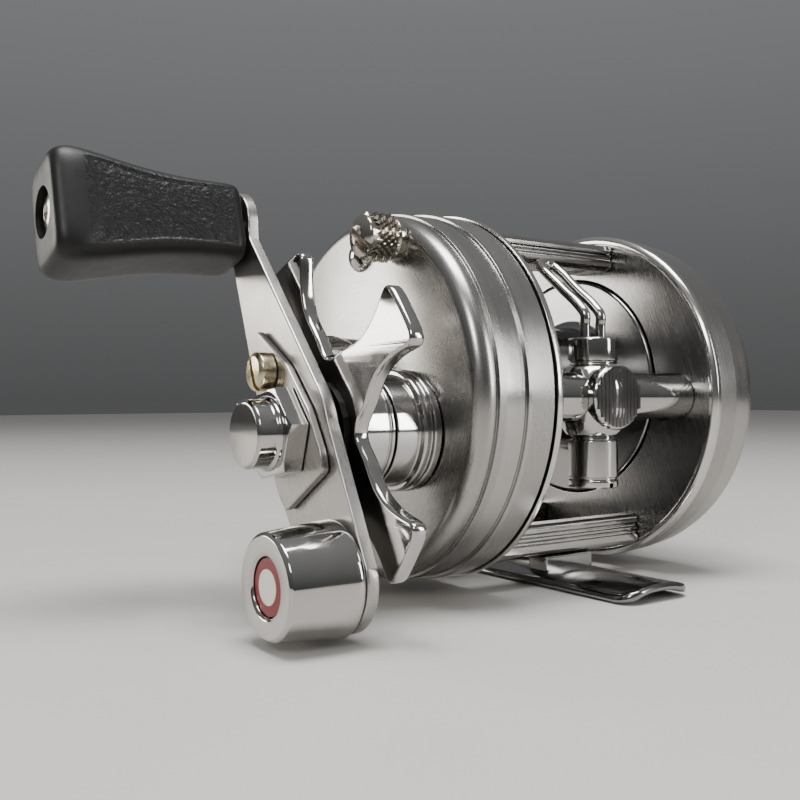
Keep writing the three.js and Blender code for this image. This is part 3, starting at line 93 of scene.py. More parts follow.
# ---------------------------------------------------------------- nodes as plain expressions
class Term:
    """A socket that takes part in plain arithmetic."""

    def __init__(self, tree, socket):
        self.tree = tree
        self.socket = socket

    def __add__(self, other):
        return self.tree.math("ADD", self, other)

    def __radd__(self, other):
        return self.tree.math("ADD", other, self)

    def __sub__(self, other):
        return self.tree.math("SUBTRACT", self, other)

    def __rsub__(self, other):
        return self.tree.math("SUBTRACT", other, self)

    def __mul__(self, other):
        return self.tree.math("MULTIPLY", self, other)

    def __rmul__(self, other):
        return self.tree.math("MULTIPLY", other, self)

    def __truediv__(self, other):
        return self.tree.math("DIVIDE", self, other)

    def __neg__(self):
        return self.tree.math("MULTIPLY", self, -1)

    def __gt__(self, other):
        return self.tree.math("GREATER_THAN", self, other)

    def __lt__(self, other):
        return self.tree.math("LESS_THAN", self, other)


class Tree:
    """Adds nodes to a shader or geometry tree: the type, its settings, then its inputs."""

    def __init__(self, node_tree):
        self.node_tree = node_tree

    def add(self, kind, settings=None, inputs=None, output=0):
        node = self.node_tree.nodes.new(kind)
        for name, value in (settings or {}).items():
            setattr(node, name, value)
        for name, value in (inputs or {}).items():
            self.put(node.inputs[name], value)
        return Term(self, node.outputs[output])

    def put(self, socket, value):
        if isinstance(value, Term):
            self.node_tree.links.new(value.socket, socket)
        else:
            socket.default_value = value

    def math(self, operation, *values):
        return self.add("ShaderNodeMath", {"operation": operation}, dict(enumerate(values)))

    def vector(self, x, y, z):
        return self.add("ShaderNodeCombineXYZ", inputs={"X": x, "Y": y, "Z": z})

    def parts(self, vector):
        first = self.add("ShaderNodeSeparateXYZ", inputs={0: vector})
        return [Term(self, output) for output in first.socket.node.outputs]


# ---------------------------------------------------------------- finishes
BAND_SHARES = (0.34, 0.68)  # where the crank cover's middle band begins and ends
COVER_DEPTH = 10.5 * MM
COVER_RIM = abs(Box("crank_cover").high.x)
# The covers' middle band is smoother, and its colour is painted lighter there as a painted highlight.
SMOOTH_BAND_WITH_PAINTED_HIGHLIGHT = tuple(COVER_RIM + share * COVER_DEPTH for share in BAND_SHARES)


class Finish(Tree):
    """The node tree of one material, with the coordinates that grains are made from."""

    def __init__(self, name):
        self.material = bpy.data.materials.new(name)
        self.material.use_nodes = True
        super().__init__(self.material.node_tree)
        self.shader = self.node_tree.nodes["Principled BSDF"]
        self.place = self.add("ShaderNodeTexCoord", output=3)
        self.x, self.y, self.z = self.parts(self.place)

    def noise(self, vector, scale, detail=2.0, roughness=0.5):
        return self.add(
            "ShaderNodeTexNoise",
            inputs={"Vector": vector, "Scale": scale, "Detail": detail, "Roughness": roughness},
        )

    def ring_grain(self, centre, fineness):
        """Fine lines that run round an axis along X."""
        y = self.y - centre[0]
        z = self.z - centre[1]
        radius = self.math("SQRT", y * y + z * z)
        angle = self.math("ARCTAN2", z, -y)
        lines = self.vector(self.x * fineness, radius * fineness, angle * 1.5)
        return self.noise(lines, 1.0, detail=3.0)

    def straight_grain(self, direction, fineness, stretch=40.0):
        """Fine lines that run along a direction in the YZ plane."""
        y, z = direction
        lengthways = self.y * y + self.z * z
        sideways = self.z * y - self.y * z
        along = fineness / stretch
        return self.noise(
            self.vector(self.x * fineness, sideways * fineness, lengthways * along), 1.0, detail=3.0
        )

    def scratches(self, fineness, direction=0.0):
        """Sparse hairline marks."""
        turn = self.add(
            "ShaderNodeVectorRotate",
            inputs={"Vector": self.place, "Axis": (0.3, 0.5, 0.8), "Angle": direction},
        )
        x, y, z = self.parts(turn)
        lines = self.noise(self.vector(x * fineness, y * fineness * 0.03, z * fineness), 1.0, 3.0)
        return self.math("MAXIMUM", lines - 0.62, 0.0)

    def finish(self, roughness, height=None, strength=0.1, depth=0.00005, **constants):
        inputs = self.shader.inputs
        for name, value in constants.items():
            self.put(inputs[name.replace("_", " ")], value)
        self.put(inputs["Roughness"], roughness)
        if height is not None:
            bump = self.add(
                "ShaderNodeBump", inputs={"Strength": strength, "Distance": depth, "Height": height}
            )
            self.put(inputs["Normal"], bump)
        return self.material

    def blend(self, factor, first, second):
        """One colour turning into another."""
        node = self.node_tree.nodes.new("ShaderNodeMix")
        node.data_type = "RGBA"
        self.put(node.inputs[0], factor)
        self.put(node.inputs[6], (*first, 1.0))
        self.put(node.inputs[7], (*second, 1.0))
        return Term(self, node.outputs[2])


def shade(colour, amount):
    """The same colour, darker below 1 and lighter above."""
    return tuple(channel * amount for channel in colour)


def satin_aluminium(name, colour, grain_fineness=7000.0, roughness=0.27):
    """Aluminium brushed in circles round the side covers, with soft handling marks and a smoother middle band
    painted lighter as a painted highlight.
    """
    f = Finish(name)
    grain = f.ring_grain(DISC, grain_fineness)
    smudge = f.noise(f.place, 90.0, 3.0)
    marks = f.scratches(2500.0, 0.9)
    reach = f.math("ABSOLUTE", f.x)
    # Painted highlight: the middle band's colour is painted lighter, and the band is also less rough.
    smooth_band_with_painted_highlight = (reach > SMOOTH_BAND_WITH_PAINTED_HIGHLIGHT[0]) * (reach < SMOOTH_BAND_WITH_PAINTED_HIGHLIGHT[1])
    darker_tone = shade(colour, 0.76)
    tone = f.blend(smudge * 0.5 + smooth_band_with_painted_highlight * 0.5, darker_tone, colour)
    rough = roughness + (grain - 0.5) * 0.12 + (smudge - 0.5) * 0.16 + marks * 0.5 - smooth_band_with_painted_highlight * 0.07
    return f.finish(rough, grain * 0.6 - marks, 0.06, 0.00003, Base_Color=tone, Metallic=1.0)


def ring_brushed(name, colour, centre, roughness=0.16):
    """Metal turned on a lathe, with fine rings left in its polish."""
    f = Finish(name)
    grain = f.ring_grain(centre, 9000.0)
    smudge = f.noise(f.place, 140.0, 3.0)
    rough = roughness + (grain - 0.5) * 0.16 + (smudge - 0.5) * 0.1
    tone = f.blend(smudge, shade(colour, 0.9), colour)
    return f.finish(rough, grain, 0.1, 0.00003, Base_Color=tone, Metallic=1.0)


def plated(name, colour, roughness=0.07, wear=1.0, direction=0.0):
    """Bright plating with hairline marks, smudges and a faint ripple."""
    f = Finish(name)
    marks = f.scratches(6500.0, direction) * 0.4
    smudge = f.noise(f.place, 220.0, 4.0)
    ripple = f.noise(f.place, 420.0, 1.0)
    tone = f.blend(smudge, shade(colour, 0.88), colour)
    rough = roughness + marks * (0.5 * wear) + (smudge - 0.42) * (0.16 * wear)
    return f.finish(rough, ripple * 0.5 - marks * wear, 0.12, 0.00004, Base_Color=tone, Metallic=1.0)


def brushed_steel(name, colour, direction, roughness=0.3):
    """Steel brushed in one direction, with a few deeper scratches along the brushing."""
    f = Finish(name)
    grain = f.straight_grain(direction, 9000.0)
    broad = f.straight_grain(direction, 1600.0, 20.0)
    smudge = f.noise(f.place, 120.0, 3.0)
    tone = f.blend(grain, shade(colour, 0.82), colour)
    rough = roughness + (grain - 0.5) * 0.16 + (smudge - 0.5) * 0.15
    return f.finish(rough, grain + broad * 0.3, 0.08, 0.00003, Base_Color=tone, Metallic=1.0)


def plain_metal(name, colour, roughness=0.3):
    """Machined metal of a hidden piece."""
    f = Finish(name)
    speckle = f.noise(f.place, 900.0, 3.0)
    tone = f.blend(speckle, shade(colour, 0.85), colour)
    rough = roughness + (speckle - 0.5) * 0.25
    return f.finish(rough, speckle, 0.1, 0.00004, Base_Color=tone, Metallic=1.0)


def moulded_black(name, colour):
    """Black plastic with a fine leather grain on its broad sides and plain borders."""
    f = Finish(name)
    knob = Box("knob")
    y, z = f.y - KNOB[0], f.z - KNOB[1]
    cosine, sine = math.cos(KNOB_TILT), math.sin(KNOB_TILT)
    height = z * cosine + y * sine
    share = (knob.high.x - f.x) / knob.size.x
    half_height = 0.0047 + f.math("MAXIMUM", share - 0.36, 0.0) * 0.0038
    edge = f.noise(f.place, 500.0, 2.0) * 0.06
    from_edge = f.math("ABSOLUTE", height) / half_height + edge
    across = f.math("MULTIPLY", share > 0.07, share < 0.84)
    fade = f.math("MINIMUM", f.math("MAXIMUM", (0.92 - from_edge) * 9.0, 0.0), 1.0)
    inside = across * fade
    warp = f.noise(f.place, 900.0, 2.0)
    pits = f.add(
        "ShaderNodeTexVoronoi",
        {"feature": "SMOOTH_F1"},
        {
            "Vector": f.vector(f.x * 0.55 + warp * 0.0008, y, z + warp * 0.0012),
            "Scale": 2300.0,
            "Smoothness": 0.8,
        },
    )
    wrinkles = f.noise(f.vector(f.x * 0.5, y, z + f.x * 0.5), 2600.0, 3.0, 0.6)
    fine = f.noise(f.place, 5200.0, 2.0)
    relief = (pits * -0.5 + wrinkles) * inside + fine * 0.1
    rough = 0.42 + (wrinkles - 0.5) * 0.25 * inside - inside * 0.06 + (warp - 0.5) * 0.12
    dark = shade(colour, 0.7)
    light = shade(colour, 1.4)
    tone = f.blend(wrinkles, dark, light)
    return f.finish(rough, relief, 0.75, 0.00016, Base_Color=tone, Specular_IOR_Level=0.28)


def plain_solid(name, colour, roughness, fineness=1500.0):
    """Plastic, fibre, leather or enamel."""
    f = Finish(name)
    speckle = f.noise(f.place, fineness, 4.0)
    tone = f.blend(speckle, shade(colour, 0.75), colour)
    rough = roughness + (speckle - 0.5) * 0.2
    return f.finish(rough, speckle, 0.15, 0.00004, Base_Color=tone, Metallic=0.0)


ARM_DIRECTION = (math.cos(ARM_ANGLE), math.sin(ARM_ANGLE))
FINISHES = {
    "satin_aluminium": lambda p: satin_aluminium("satin aluminium", p.cover_colour),
    "plate_face": lambda p: brushed_steel("side plate face", (0.3, 0.295, 0.29), (0.35, 0.937), 0.25),
    "spool_metal": lambda p: ring_brushed("turned spool metal", (0.26, 0.255, 0.25), SPOOL, 0.2),
    "polished_aluminium": lambda p: ring_brushed("polished aluminium", (0.6, 0.585, 0.56), DISC),
    "chrome": lambda p: plated("chrome", p.chrome_colour),
    "bar_steel": lambda p: plated("polished bar steel", (0.36, 0.35, 0.335), 0.16, 1.0, 0.2),
    # The foot's chrome is painted darker than the other chrome: painted dark reflection and painted shade. Its
    # heavier marks and roughness are real wear.
    "worn_chrome_painted_dark": lambda p: plated("worn chrome painted dark", (0.26, 0.255, 0.25), 0.12, 1.4, 0.5),
    "brushed_steel": lambda p: brushed_steel("brushed steel", (0.42, 0.405, 0.385), ARM_DIRECTION),
    "nickelled_steel": lambda p: plated("nickel plate", (0.45, 0.42, 0.37), 0.15, 1.0, 0.7),
    "plain_steel": lambda p: plain_metal("plain steel", (0.55, 0.55, 0.56)),
    "brass": lambda p: plain_metal("brass", (0.58, 0.5, 0.34), 0.24),
    "black_knob": lambda p: moulded_black("black knob plastic", p.knob_colour),
    "black_nylon": lambda p: plain_solid("black nylon", (0.02, 0.02, 0.02), 0.45),
    "brake_fibre": lambda p: plain_solid("pressed fibre", (0.22, 0.15, 0.09), 0.8),
    "drag_leather": lambda p: plain_solid("oiled leather", (0.24, 0.15, 0.08), 0.7),
    "red_badge": lambda p: plain_solid("red enamel", p.badge_colour, 0.4, 500.0),
    "badge_mark": lambda p: plain_solid("pale enamel", (0.82, 0.78, 0.7), 0.3, 500.0),
}
made_finishes = {}


def finish_named(name):
    """The finish of this name, made the first time it is asked for."""
    if name not in made_finishes:
        made_finishes[name] = FINISHES[name](bpy.context.scene.reel_settings)
    return made_finishes[name]


# ---------------------------------------------------------------- mesh tools
TURNED_SIDES = 128
SMALL_SIDES = 64


def soften(points, radius, steps=4):
    """Rounds the corners of an open outline; a point may carry its own radius as a third value."""
    rounded = [tuple(points[0][:2])]
    for before, here, after in zip(points, points[1:], points[2:]):
        corner = Vector(here[:2])
        back = Vector(before[:2]) - corner
        onward = Vector(after[:2]) - corner
        own = here[2] if len(here) > 2 else radius
        reach = min(own, back.length * 0.45, onward.length * 0.45)
        if reach < 1e-6:
            rounded.append(tuple(corner))
            continue
        start = corner + back.normalized() * reach
        end = corner + onward.normalized() * reach
        for step in range(steps + 1):
            t = step / steps
            rounded.append(tuple((1 - t) ** 2 * start + 2 * t * (1 - t) * corner + t * t * end))
    rounded.append(tuple(points[-1][:2]))
    return rounded


def loft(rings, closed_ends=True):
    """A skin through rings of equally many points; a ring of one point is a tip."""
    made = bmesh.new()
    rows = [[made.verts.new(point) for point in ring] for ring in rings]
    for near, far in zip(rows, rows[1:]):
        count = max(len(near), len(far))
        for side in range(count):
            following = (side + 1) % count
            corners = [near[side % len(near)], near[following % len(near)]]
            corners += [far[following % len(far)], far[side % len(far)]]
            made.faces.new(list(dict.fromkeys(corners)))
    if closed_ends:
        for row in (rows[0], rows[-1]):
            if len(row) > 2:
                made.faces.new(row)
    bmesh.ops.recalc_face_normals(made, faces=made.faces)
    return made


def turned(profile, place, fillet=0.15, sides=TURNED_SIDES, direction="X"):
    """A body of revolution from (radius, along) points in metres, round an axis through place.

    The profile runs from the axis to the axis, or comes back to its first point.
    """
    closed = tuple(profile[0][:2]) == tuple(profile[-1][:2])
    outline = soften(profile, fillet * MM)
    if closed:
        outline = outline[:-1]
    rings = []
    for radius, along in outline:
        count = 1 if radius < 1e-7 else sides
        ring = []
        for side in range(count):
            angle = FULL_TURN * side / sides
            across, up = radius * math.cos(angle), radius * math.sin(angle)
            if direction == "X":
                ring.append((along, place[0] + across, place[1] + up))
            elif direction == "Z":
                ring.append((place[0] + across, place[1] + up, along))
            else:
                ring.append((place[0] + across, along, place[1] + up))
        rings.append(ring)
    if closed:
        rings.append(rings[0])
        made = loft(rings, closed_ends=False)
        bmesh.ops.remove_doubles(made, verts=made.verts, dist=1e-7)
        bmesh.ops.recalc_face_normals(made, faces=made.faces)
        return made
    return loft(rings, closed_ends=False)


def as_mesh(made, name="piece"):
    """Turns mesh work into a finished mesh."""
    mesh = bpy.data.meshes.new(name)
    made.to_mesh(mesh)
    made.free()
    return mesh


def as_object(made, name="piece"):
    """Puts a mesh, or mesh work, into the scene as an object."""
    mesh = made if isinstance(made, bpy.types.Mesh) else as_mesh(made, name)
    thing = bpy.data.objects.new(name, mesh)
    bpy.context.scene.collection.objects.link(thing)
    return thing


def evaluated(thing):
    """The plain mesh of an object after its modifiers; the object is removed."""
    bpy.context.view_layer.update()
    graph = bpy.context.evaluated_depsgraph_get()
    mesh = bpy.data.meshes.new_from_object(thing.evaluated_get(graph))
    bpy.data.objects.remove(thing)
    return mesh


def cut(made, *cutters):
    """made less each cutter, all of them closed."""
    mesh = as_mesh(made)
    for cutter in cutters:
        thing = as_object(mesh)
        tool = as_object(cutter, "cutter")
        modifier = thing.modifiers.new("cut", "BOOLEAN")
        modifier.operation = "DIFFERENCE"
        modifier.solver = "EXACT"
        modifier.object = tool
        mesh = evaluated(thing)
        bpy.data.objects.remove(tool)
    return as_bmesh(mesh)


def as_bmesh(mesh):
    """Opens a mesh for more work."""
    made = bmesh.new()
    made.from_mesh(mesh)
    return made


def together(*pieces):
    """Several closed bodies in one mesh; each is (bmesh, material index) or a bmesh."""
    whole = bmesh.new()
    for piece in pieces:
        made, index = piece if isinstance(piece, tuple) else (piece, None)
        mesh = made if isinstance(made, bpy.types.Mesh) else as_mesh(made)
        if index is not None:
            mesh.polygons.foreach_set("material_index", [index] * len(mesh.polygons))
        whole.from_mesh(mesh)
    return whole


def flat_plate(outline, holes, low, high, bevel, resolution=3):
    """A plate in the YZ plane between x = low and x = high, with rounded edges all round."""
    curve = bpy.data.curves.new("outline", "CURVE")
    curve.dimensions = "2D"
    curve.fill_mode = "BOTH"
    curve.extrude = (high - low) / 2 - bevel
    curve.bevel_depth = bevel
    curve.bevel_resolution = resolution
    curve.offset = -bevel
    for line in [outline, *holes]:
        spline = curve.splines.new("POLY")
        spline.points.add(len(line) - 1)
        for point, (y, z) in zip(spline.points, line):
            point.co = (y, z, 0, 1)
        spline.use_cyclic_u = True
    thing = bpy.data.objects.new("outline", curve)
    bpy.context.scene.collection.objects.link(thing)
    made = as_bmesh(evaluated(thing))
    bmesh.ops.remove_doubles(made, verts=made.verts, dist=1e-7)
    turn = Matrix(((0, 0, 1, (low + high) / 2), (1, 0, 0, 0), (0, 1, 0, 0), (0, 0, 0, 1)))
    bmesh.ops.transform(made, matrix=turn, verts=made.verts)
    bmesh.ops.recalc_face_normals(made, faces=made.faces)
    return made


def circle(radius, centre=(0.0, 0.0), sides=TURNED_SIDES):
    """A round outline in the YZ plane."""
    return [
        (
            centre[0] + radius * math.cos(FULL_TURN * side / sides),
            centre[1] + radius * math.sin(FULL_TURN * side / sides),
        )
        for side in range(sides)
    ]


def rounded_block(low, high, bevel, segments=3):
    """A box with rounded edges."""
    made = bmesh.new()
    bmesh.ops.create_cube(made, size=1.0)
    size = Vector(high) - Vector(low)
    middle = (Vector(high) + Vector(low)) / 2
    lie = Matrix.Translation(middle) @ Matrix.Diagonal((*size, 1))
    bmesh.ops.transform(made, matrix=lie, verts=made.verts)
    bmesh.ops.bevel(
        made,
        geom=list(made.edges),
        offset=bevel,
        segments=segments,
        affect="EDGES",
        profile=0.5,
        clamp_overlap=True,
    )
    return made


def rod_along_x(radius, low, high, place, sides=SMALL_SIDES):
    """A plain rod, mostly used to cut round holes."""
    return turned([(0, low), (radius, low), (radius, high), (0, high)], place, 0, sides)


def slot_cutter(place, low, high, half_width, half_length, angle, bevel):
    """A flat bar across an axis along X, turned round it, that cuts a slot in a head."""
    bar = rounded_block((low, -half_length, -half_width), (high, half_length, half_width), bevel, 1)
    lie = Matrix.Translation((0, *place)) @ Matrix.Rotation(angle, 4, "X")
    bmesh.ops.transform(bar, matrix=lie, verts=bar.verts)
    return bar


def present(made, node, *finishes, name=None, replaced=None):
    """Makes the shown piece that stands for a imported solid, and lets it move with the solid's body."""
    mesh = made if isinstance(made, bpy.types.Mesh) else as_mesh(made, node)
    piece = as_object(mesh, name or node + "_finished")
    for finish in finishes or [SLOT_OF[node]]:
        mesh.materials.append(finish_named(finish))
    mesh.polygons.foreach_set("use_smooth", [True] * len(mesh.polygons))
    mesh.set_sharp_from_angle(angle=math.radians(32))
    weighted = piece.modifiers.new("even shading", "WEIGHTED_NORMAL")
    weighted.keep_sharp = True
    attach(piece, BODY_OF[node])
    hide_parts(*(replaced or [node]))
    return piece


def grow(builder, **values):
    """Builds a geometry node tree, sets its named inputs and returns the mesh that it makes."""
    group = builder()
    thing = as_object(bpy.data.meshes.new("seed"))
    modifier = thing.modifiers.new("grow", "NODES")
    modifier.node_group = group
    for item in group.interface.items_tree:
        if item.item_type == "SOCKET" and item.in_out == "INPUT" and item.name in values:
            modifier[item.identifier] = values[item.name]
    return evaluated(thing)


def new_group(name, inputs):
    """An empty geometry tree with float or whole-number inputs, given as {name: default}."""
    group = bpy.data.node_groups.new(name, "GeometryNodeTree")
    for label, default in inputs.items():
        kind = "NodeSocketInt" if isinstance(default, int) else "NodeSocketFloat"
        socket = group.interface.new_socket(label, in_out="INPUT", socket_type=kind)
        socket.default_value = default
    group.interface.new_socket("Geometry", in_out="OUTPUT", socket_type="NodeSocketGeometry")
    tree = Tree(group)
    entry = group.nodes.new("NodeGroupInput")
    values = {socket.name: Term(tree, socket) for socket in entry.outputs if socket.name}
    return group, tree, values


def end_group(group, tree, geometry, finish):
    """Closes a geometry tree with real meshes that carry one finish."""
    real = tree.add("GeometryNodeRealizeInstances", inputs={"Geometry": geometry})
    faced = tree.add("GeometryNodeSetMaterial", inputs={"Geometry": real, "Material": finish_named(finish)})
    leave = group.nodes.new("NodeGroupOutput")
    tree.put(leave.inputs["Geometry"], faced)
    return group


def stud_ring_group():
    """Rows of studs that stand out from a drum round the X axis, each row shifted by half a step."""
    group, tree, value = new_group(
        "studs round a drum",
        {
            "Rows": 4,
            "Around": 24,
            "Radius": 0.003,
            "Start": 0.0,
            "Pitch": 0.001,
            "Length": 0.001,
            "Width": 0.0006,
            "Height": 0.0004,
            "Centre Y": 0.0,
            "Centre Z": 0.0,
            "Sides": 4,
        },
    )
    index = tree.add("GeometryNodeInputIndex")
    row = tree.math("FLOOR", index / value["Around"])
    shift = tree.math("MODULO", row, 2.0) * 0.5
    step = tree.math("MODULO", index, value["Around"]) + shift
    angle = step * FULL_TURN / value["Around"]
    place = tree.vector(
        value["Start"] + row * value["Pitch"],
        value["Centre Y"] + tree.math("COSINE", angle) * value["Radius"],
        value["Centre Z"] + tree.math("SINE", angle) * value["Radius"],
    )
    count = value["Rows"] * value["Around"]
    points = tree.add("GeometryNodePoints", inputs={"Count": count, "Position": place})
    stud = tree.add(
        "GeometryNodeMeshCone",
        {"fill_type": "NGON"},
        {"Vertices": value["Sides"], "Radius Top": 0.22, "Radius Bottom": 1.0, "Depth": 1.0},
    )
    turn = tree.vector(angle - math.pi / 2, 0.0, 0.0)
    placed = tree.add(
        "GeometryNodeInstanceOnPoints",
        inputs={
            "Points": points,
            "Instance": stud,
            "Rotation": turn,
            "Scale": tree.vector(value["Length"], value["Width"], value["Height"]),
        },
    )
    return end_group(group, tree, placed, "nickelled_steel")


def rib_row_group():
    """Upright ribs on a round pad that faces the front, each as long as the pad is high there."""
    group, tree, value = new_group(
        "ribs on a round pad",
        {
            "Count": 11,
            "Pad Radius": 0.004,
            "Rib Width": 0.0005,
            "Rib Height": 0.0003,
            "Centre X": 0.0,
            "Centre Z": 0.0,
            "Front Y": 0.0,
        },
    )
    index = tree.add("GeometryNodeInputIndex")
    share = (index + 0.5) / value["Count"] * 2.0 - 1.0
    across = share * value["Pad Radius"]
    half = tree.math("SQRT", value["Pad Radius"] * value["Pad Radius"] - across * across)
    place = tree.vector(value["Centre X"] + across, value["Front Y"], value["Centre Z"])
    points = tree.add("GeometryNodePoints", inputs={"Count": value["Count"], "Position": place})
    rib = tree.add(
        "GeometryNodeMeshCylinder",
        {"fill_type": "NGON"},
        {"Vertices": 10, "Radius": 0.5, "Depth": 1.0},
    )
    placed = tree.add(
        "GeometryNodeInstanceOnPoints",
        inputs={
            "Points": points,
            "Instance": rib,
            "Scale": tree.vector(value["Rib Width"], value["Rib Height"] * 2.0, half * 1.94),
        },
    )
    return end_group(group, tree, placed, "chrome")


# ---------------------------------------------------------------- side covers and plates
BAND_STEP = 0.35 * MM
COVER_WALL = 0.7 * MM
COVER_SHOULDER = 1.9 * MM
COVER_DOME = 1.2 * MM
PLATE_SLIP = 0.05 * MM


def cover_shell(node, band_shares, neck_height):
    """A cup with three turned bands, a rounded shoulder and a low dome, open towards the plates."""
    box = Box(node)
    outwards = -1 if box.middle.x < 0 else 1
    rim = box.high.x if outwards < 0 else box.low.x
    depth = box.size.x - neck_height
    radius = box.size.z / 2

    def at(share):
        return rim + outwards * share * depth

    radii = [radius, radius - BAND_STEP, radius - 2 * BAND_STEP]
    face = depth - COVER_DOME
    first, second = (at(share) for share in band_shares)
    shoulder = rim + outwards * (face - COVER_SHOULDER)
    groove = 0.05 * MM
    outer = [
        (radii[0], rim),
        (radii[0], first),
        (radii[1] - groove, first),
        (radii[1] - groove, first + outwards * 0.2 * MM, 0),
        (radii[1], first + outwards * 0.3 * MM, 0),
        (radii[1], second),
        (radii[2] - groove, second),
        (radii[2] - groove, second + outwards * 0.2 * MM, 0),
        (radii[2], second + outwards * 0.3 * MM, 0),
    ]
    steps = 10
    for step in range(steps + 1):
        turn = math.pi / 2 * step / steps
        outer.append(
            (
                radii[2] - COVER_SHOULDER * (1 - math.cos(turn)),
                shoulder + outwards * COVER_SHOULDER * math.sin(turn),
                0,
            )
        )
    flat = radii[2] - COVER_SHOULDER
    for step in range(1, 13):
        share = 1 - step / 12
        outer.append((flat * share, rim + outwards * (face + COVER_DOME * (1 - share * share)), 0))
    inside = face - COVER_WALL
    inner = [
        (0.0, rim + outwards * inside),
        (flat, rim + outwards * inside),
        (radii[2] - COVER_WALL, rim + outwards * (inside - COVER_SHOULDER)),
        (radii[2] - COVER_WALL, rim),
    ]
    # from the axis outside, round the rim, and back to the axis inside
    return turned(list(reversed(outer)) + list(reversed(inner)), DISC, 0.08)


def neck_sleeve(node, low, high):
    """The short tube that a cap screws on to."""
    box = Box(node)
    inner = box.size.z / 2 - 1.6 * MM
    outer = box.size.z / 2 - 0.85 * MM
    return turned(
        [(inner, low), (outer, low), (outer, high), (inner, high), (inner, low)], SPOOL, 0.05, SMALL_SIDES
    )


def build_covers():
    """Both side covers, with their holes and the sleeves for the caps."""
    cap = Box("tension_cap")
    cover = Box("crank_cover")
    button = Box("free_spool_button")
    neck_height = 2.6 * MM
    through = rod_along_x(4.5 * MM, cover.low.x - MM, cover.high.x - 4 * MM, CRANK)
    spool_hole = rod_along_x(5.0 * MM, cover.low.x - MM, cover.high.x - 4 * MM, SPOOL)
    slack = 0.2 * MM
    slot = rounded_block(
        (button.low.x - slack, PLATE_RADIUS * 0.8, button.low.z - slack),
        (button.high.x + slack, PLATE_RADIUS + 2 * MM, button.high.z + slack),
        0.8 * MM,
    )
    shell = cut(cover_shell("crank_cover", BAND_SHARES, neck_height), through, spool_hole, slot)
    sleeve = neck_sleeve("tension_cap", cap.high.x - 1.2 * MM, cap.low.x + 2.8 * MM)
    present(together(shell, sleeve), "crank_cover", "satin_aluminium")

    tail = Box("tail_cover")
    tail_cap = Box("tail_bearing_cap")
    tail_hole = rod_along_x(5.0 * MM, tail.low.x + 4 * MM, tail.high.x + MM, SPOOL)
    tail_shell = cut(cover_shell("tail_cover", (0.34, 0.62), neck_height), tail_hole)
    tail_sleeve = neck_sleeve("tail_bearing_cap", tail_cap.low.x - 1.2 * MM, tail_cap.high.x - 1.4 * MM)
    present(together(tail_shell, tail_sleeve), "tail_cover", "satin_aluminium")


def build_side_plates():
    """Each plate is a polished ring round a slightly sunk satin face."""
    opening = Box("spool").size.z / 2 + 0.3 * MM
    tube = Box("level_wind_tube").size.z / 2
    for node in ("crank_side_plate", "tail_side_plate"):
        box = Box(node)
        inwards = 1 if box.middle.x < 0 else -1
        inner = box.high.x if inwards > 0 else box.low.x
        outer = box.low.x if inwards > 0 else box.high.x
        sunk = inner - inwards * 0.12 * MM
        back = outer + inwards * 0.05 * MM
        face = flat_plate(
            circle(PLATE_RADIUS - 1.1 * MM, DISC, 192),
            [circle(opening, SPOOL), circle(tube + PLATE_SLIP, WORM, SMALL_SIDES)],
            min(sunk, back),
            max(sunk, back),
            0.12 * MM,
            2,
        )
        lip = PLATE_RADIUS - 1.2 * MM
        ring = turned(
            [
                (lip, outer),
                (PLATE_RADIUS, outer),
                (PLATE_RADIUS, inner - inwards * 0.45 * MM, 0.2 * MM),
                (PLATE_RADIUS - 0.55 * MM, inner, 0.25 * MM),
                (lip, inner - inwards * 0.02 * MM, 0.15 * MM),
                (lip, outer),
            ],
            DISC,
            0.12,
            192,
        )
        present(together((ring, 0), (face, 1)), node, "polished_aluminium", "plate_face")


def bar_section(box, corner, groove):
    """The outline of a straight bar: rounded corners and two grooves along the front and the back."""
    half_width, half_height = box.size.y / 2, box.size.z / 2
    outline = []
    for quarter, (side, up) in enumerate(((1, 1), (-1, 1), (-1, -1), (1, -1))):
        for step in range(7):
            angle = math.pi / 2 * (quarter + step / 6)
            outline.append(
                (
                    box.middle.y + side * (half_width - corner) + corner * math.cos(angle),
                    box.middle.z + up * (half_height - corner) + corner * math.sin(angle),
                )
            )
        if side == up:
            continue
        # this corner ends on the front or the back wall, which the grooves cut
        wall = box.middle.y + side * half_width
        for middle in (0.34 * up, -0.12 * up):
            for step in range(7):
                angle = math.pi * step / 6
                outline.append(
                    (
                        wall - side * groove * math.sin(angle),
                        box.middle.z + middle * half_height + up * groove * math.cos(angle),
                    )
                )
    return outline


def build_frame_bars():
    """The bars that hold the two side plates apart."""
    box = Box("back_pillar")
    radius = box.size.z / 2
    collar = 1.6 * MM
    waist = radius * 0.86
    profile = [
        (0, box.low.x),
        (radius, box.low.x),
        (radius, box.low.x + collar),
        (waist, box.low.x + collar),
        (waist, box.high.x - collar),
        (radius, box.high.x - collar),
        (radius, box.high.x),
        (0, box.high.x),
    ]
    present(turned(profile, (box.middle.y, box.middle.z), 0.2, SMALL_SIDES), "back_pillar", "bar_steel")
    corners = {"top_bar": 1.2 * MM, "lower_front_bar": 0.8 * MM, "lower_rear_bar": 0.8 * MM}
    for node, corner in corners.items():
        box = Box(node)
        section = bar_section(box, corner, 0.38 * MM)
        present(flat_plate(section, [], box.low.x, box.high.x, 0.06 * MM, 2), node, "bar_steel")


# ---------------------------------------------------------------- foot
FOOT_THICKNESS = 1.1 * MM


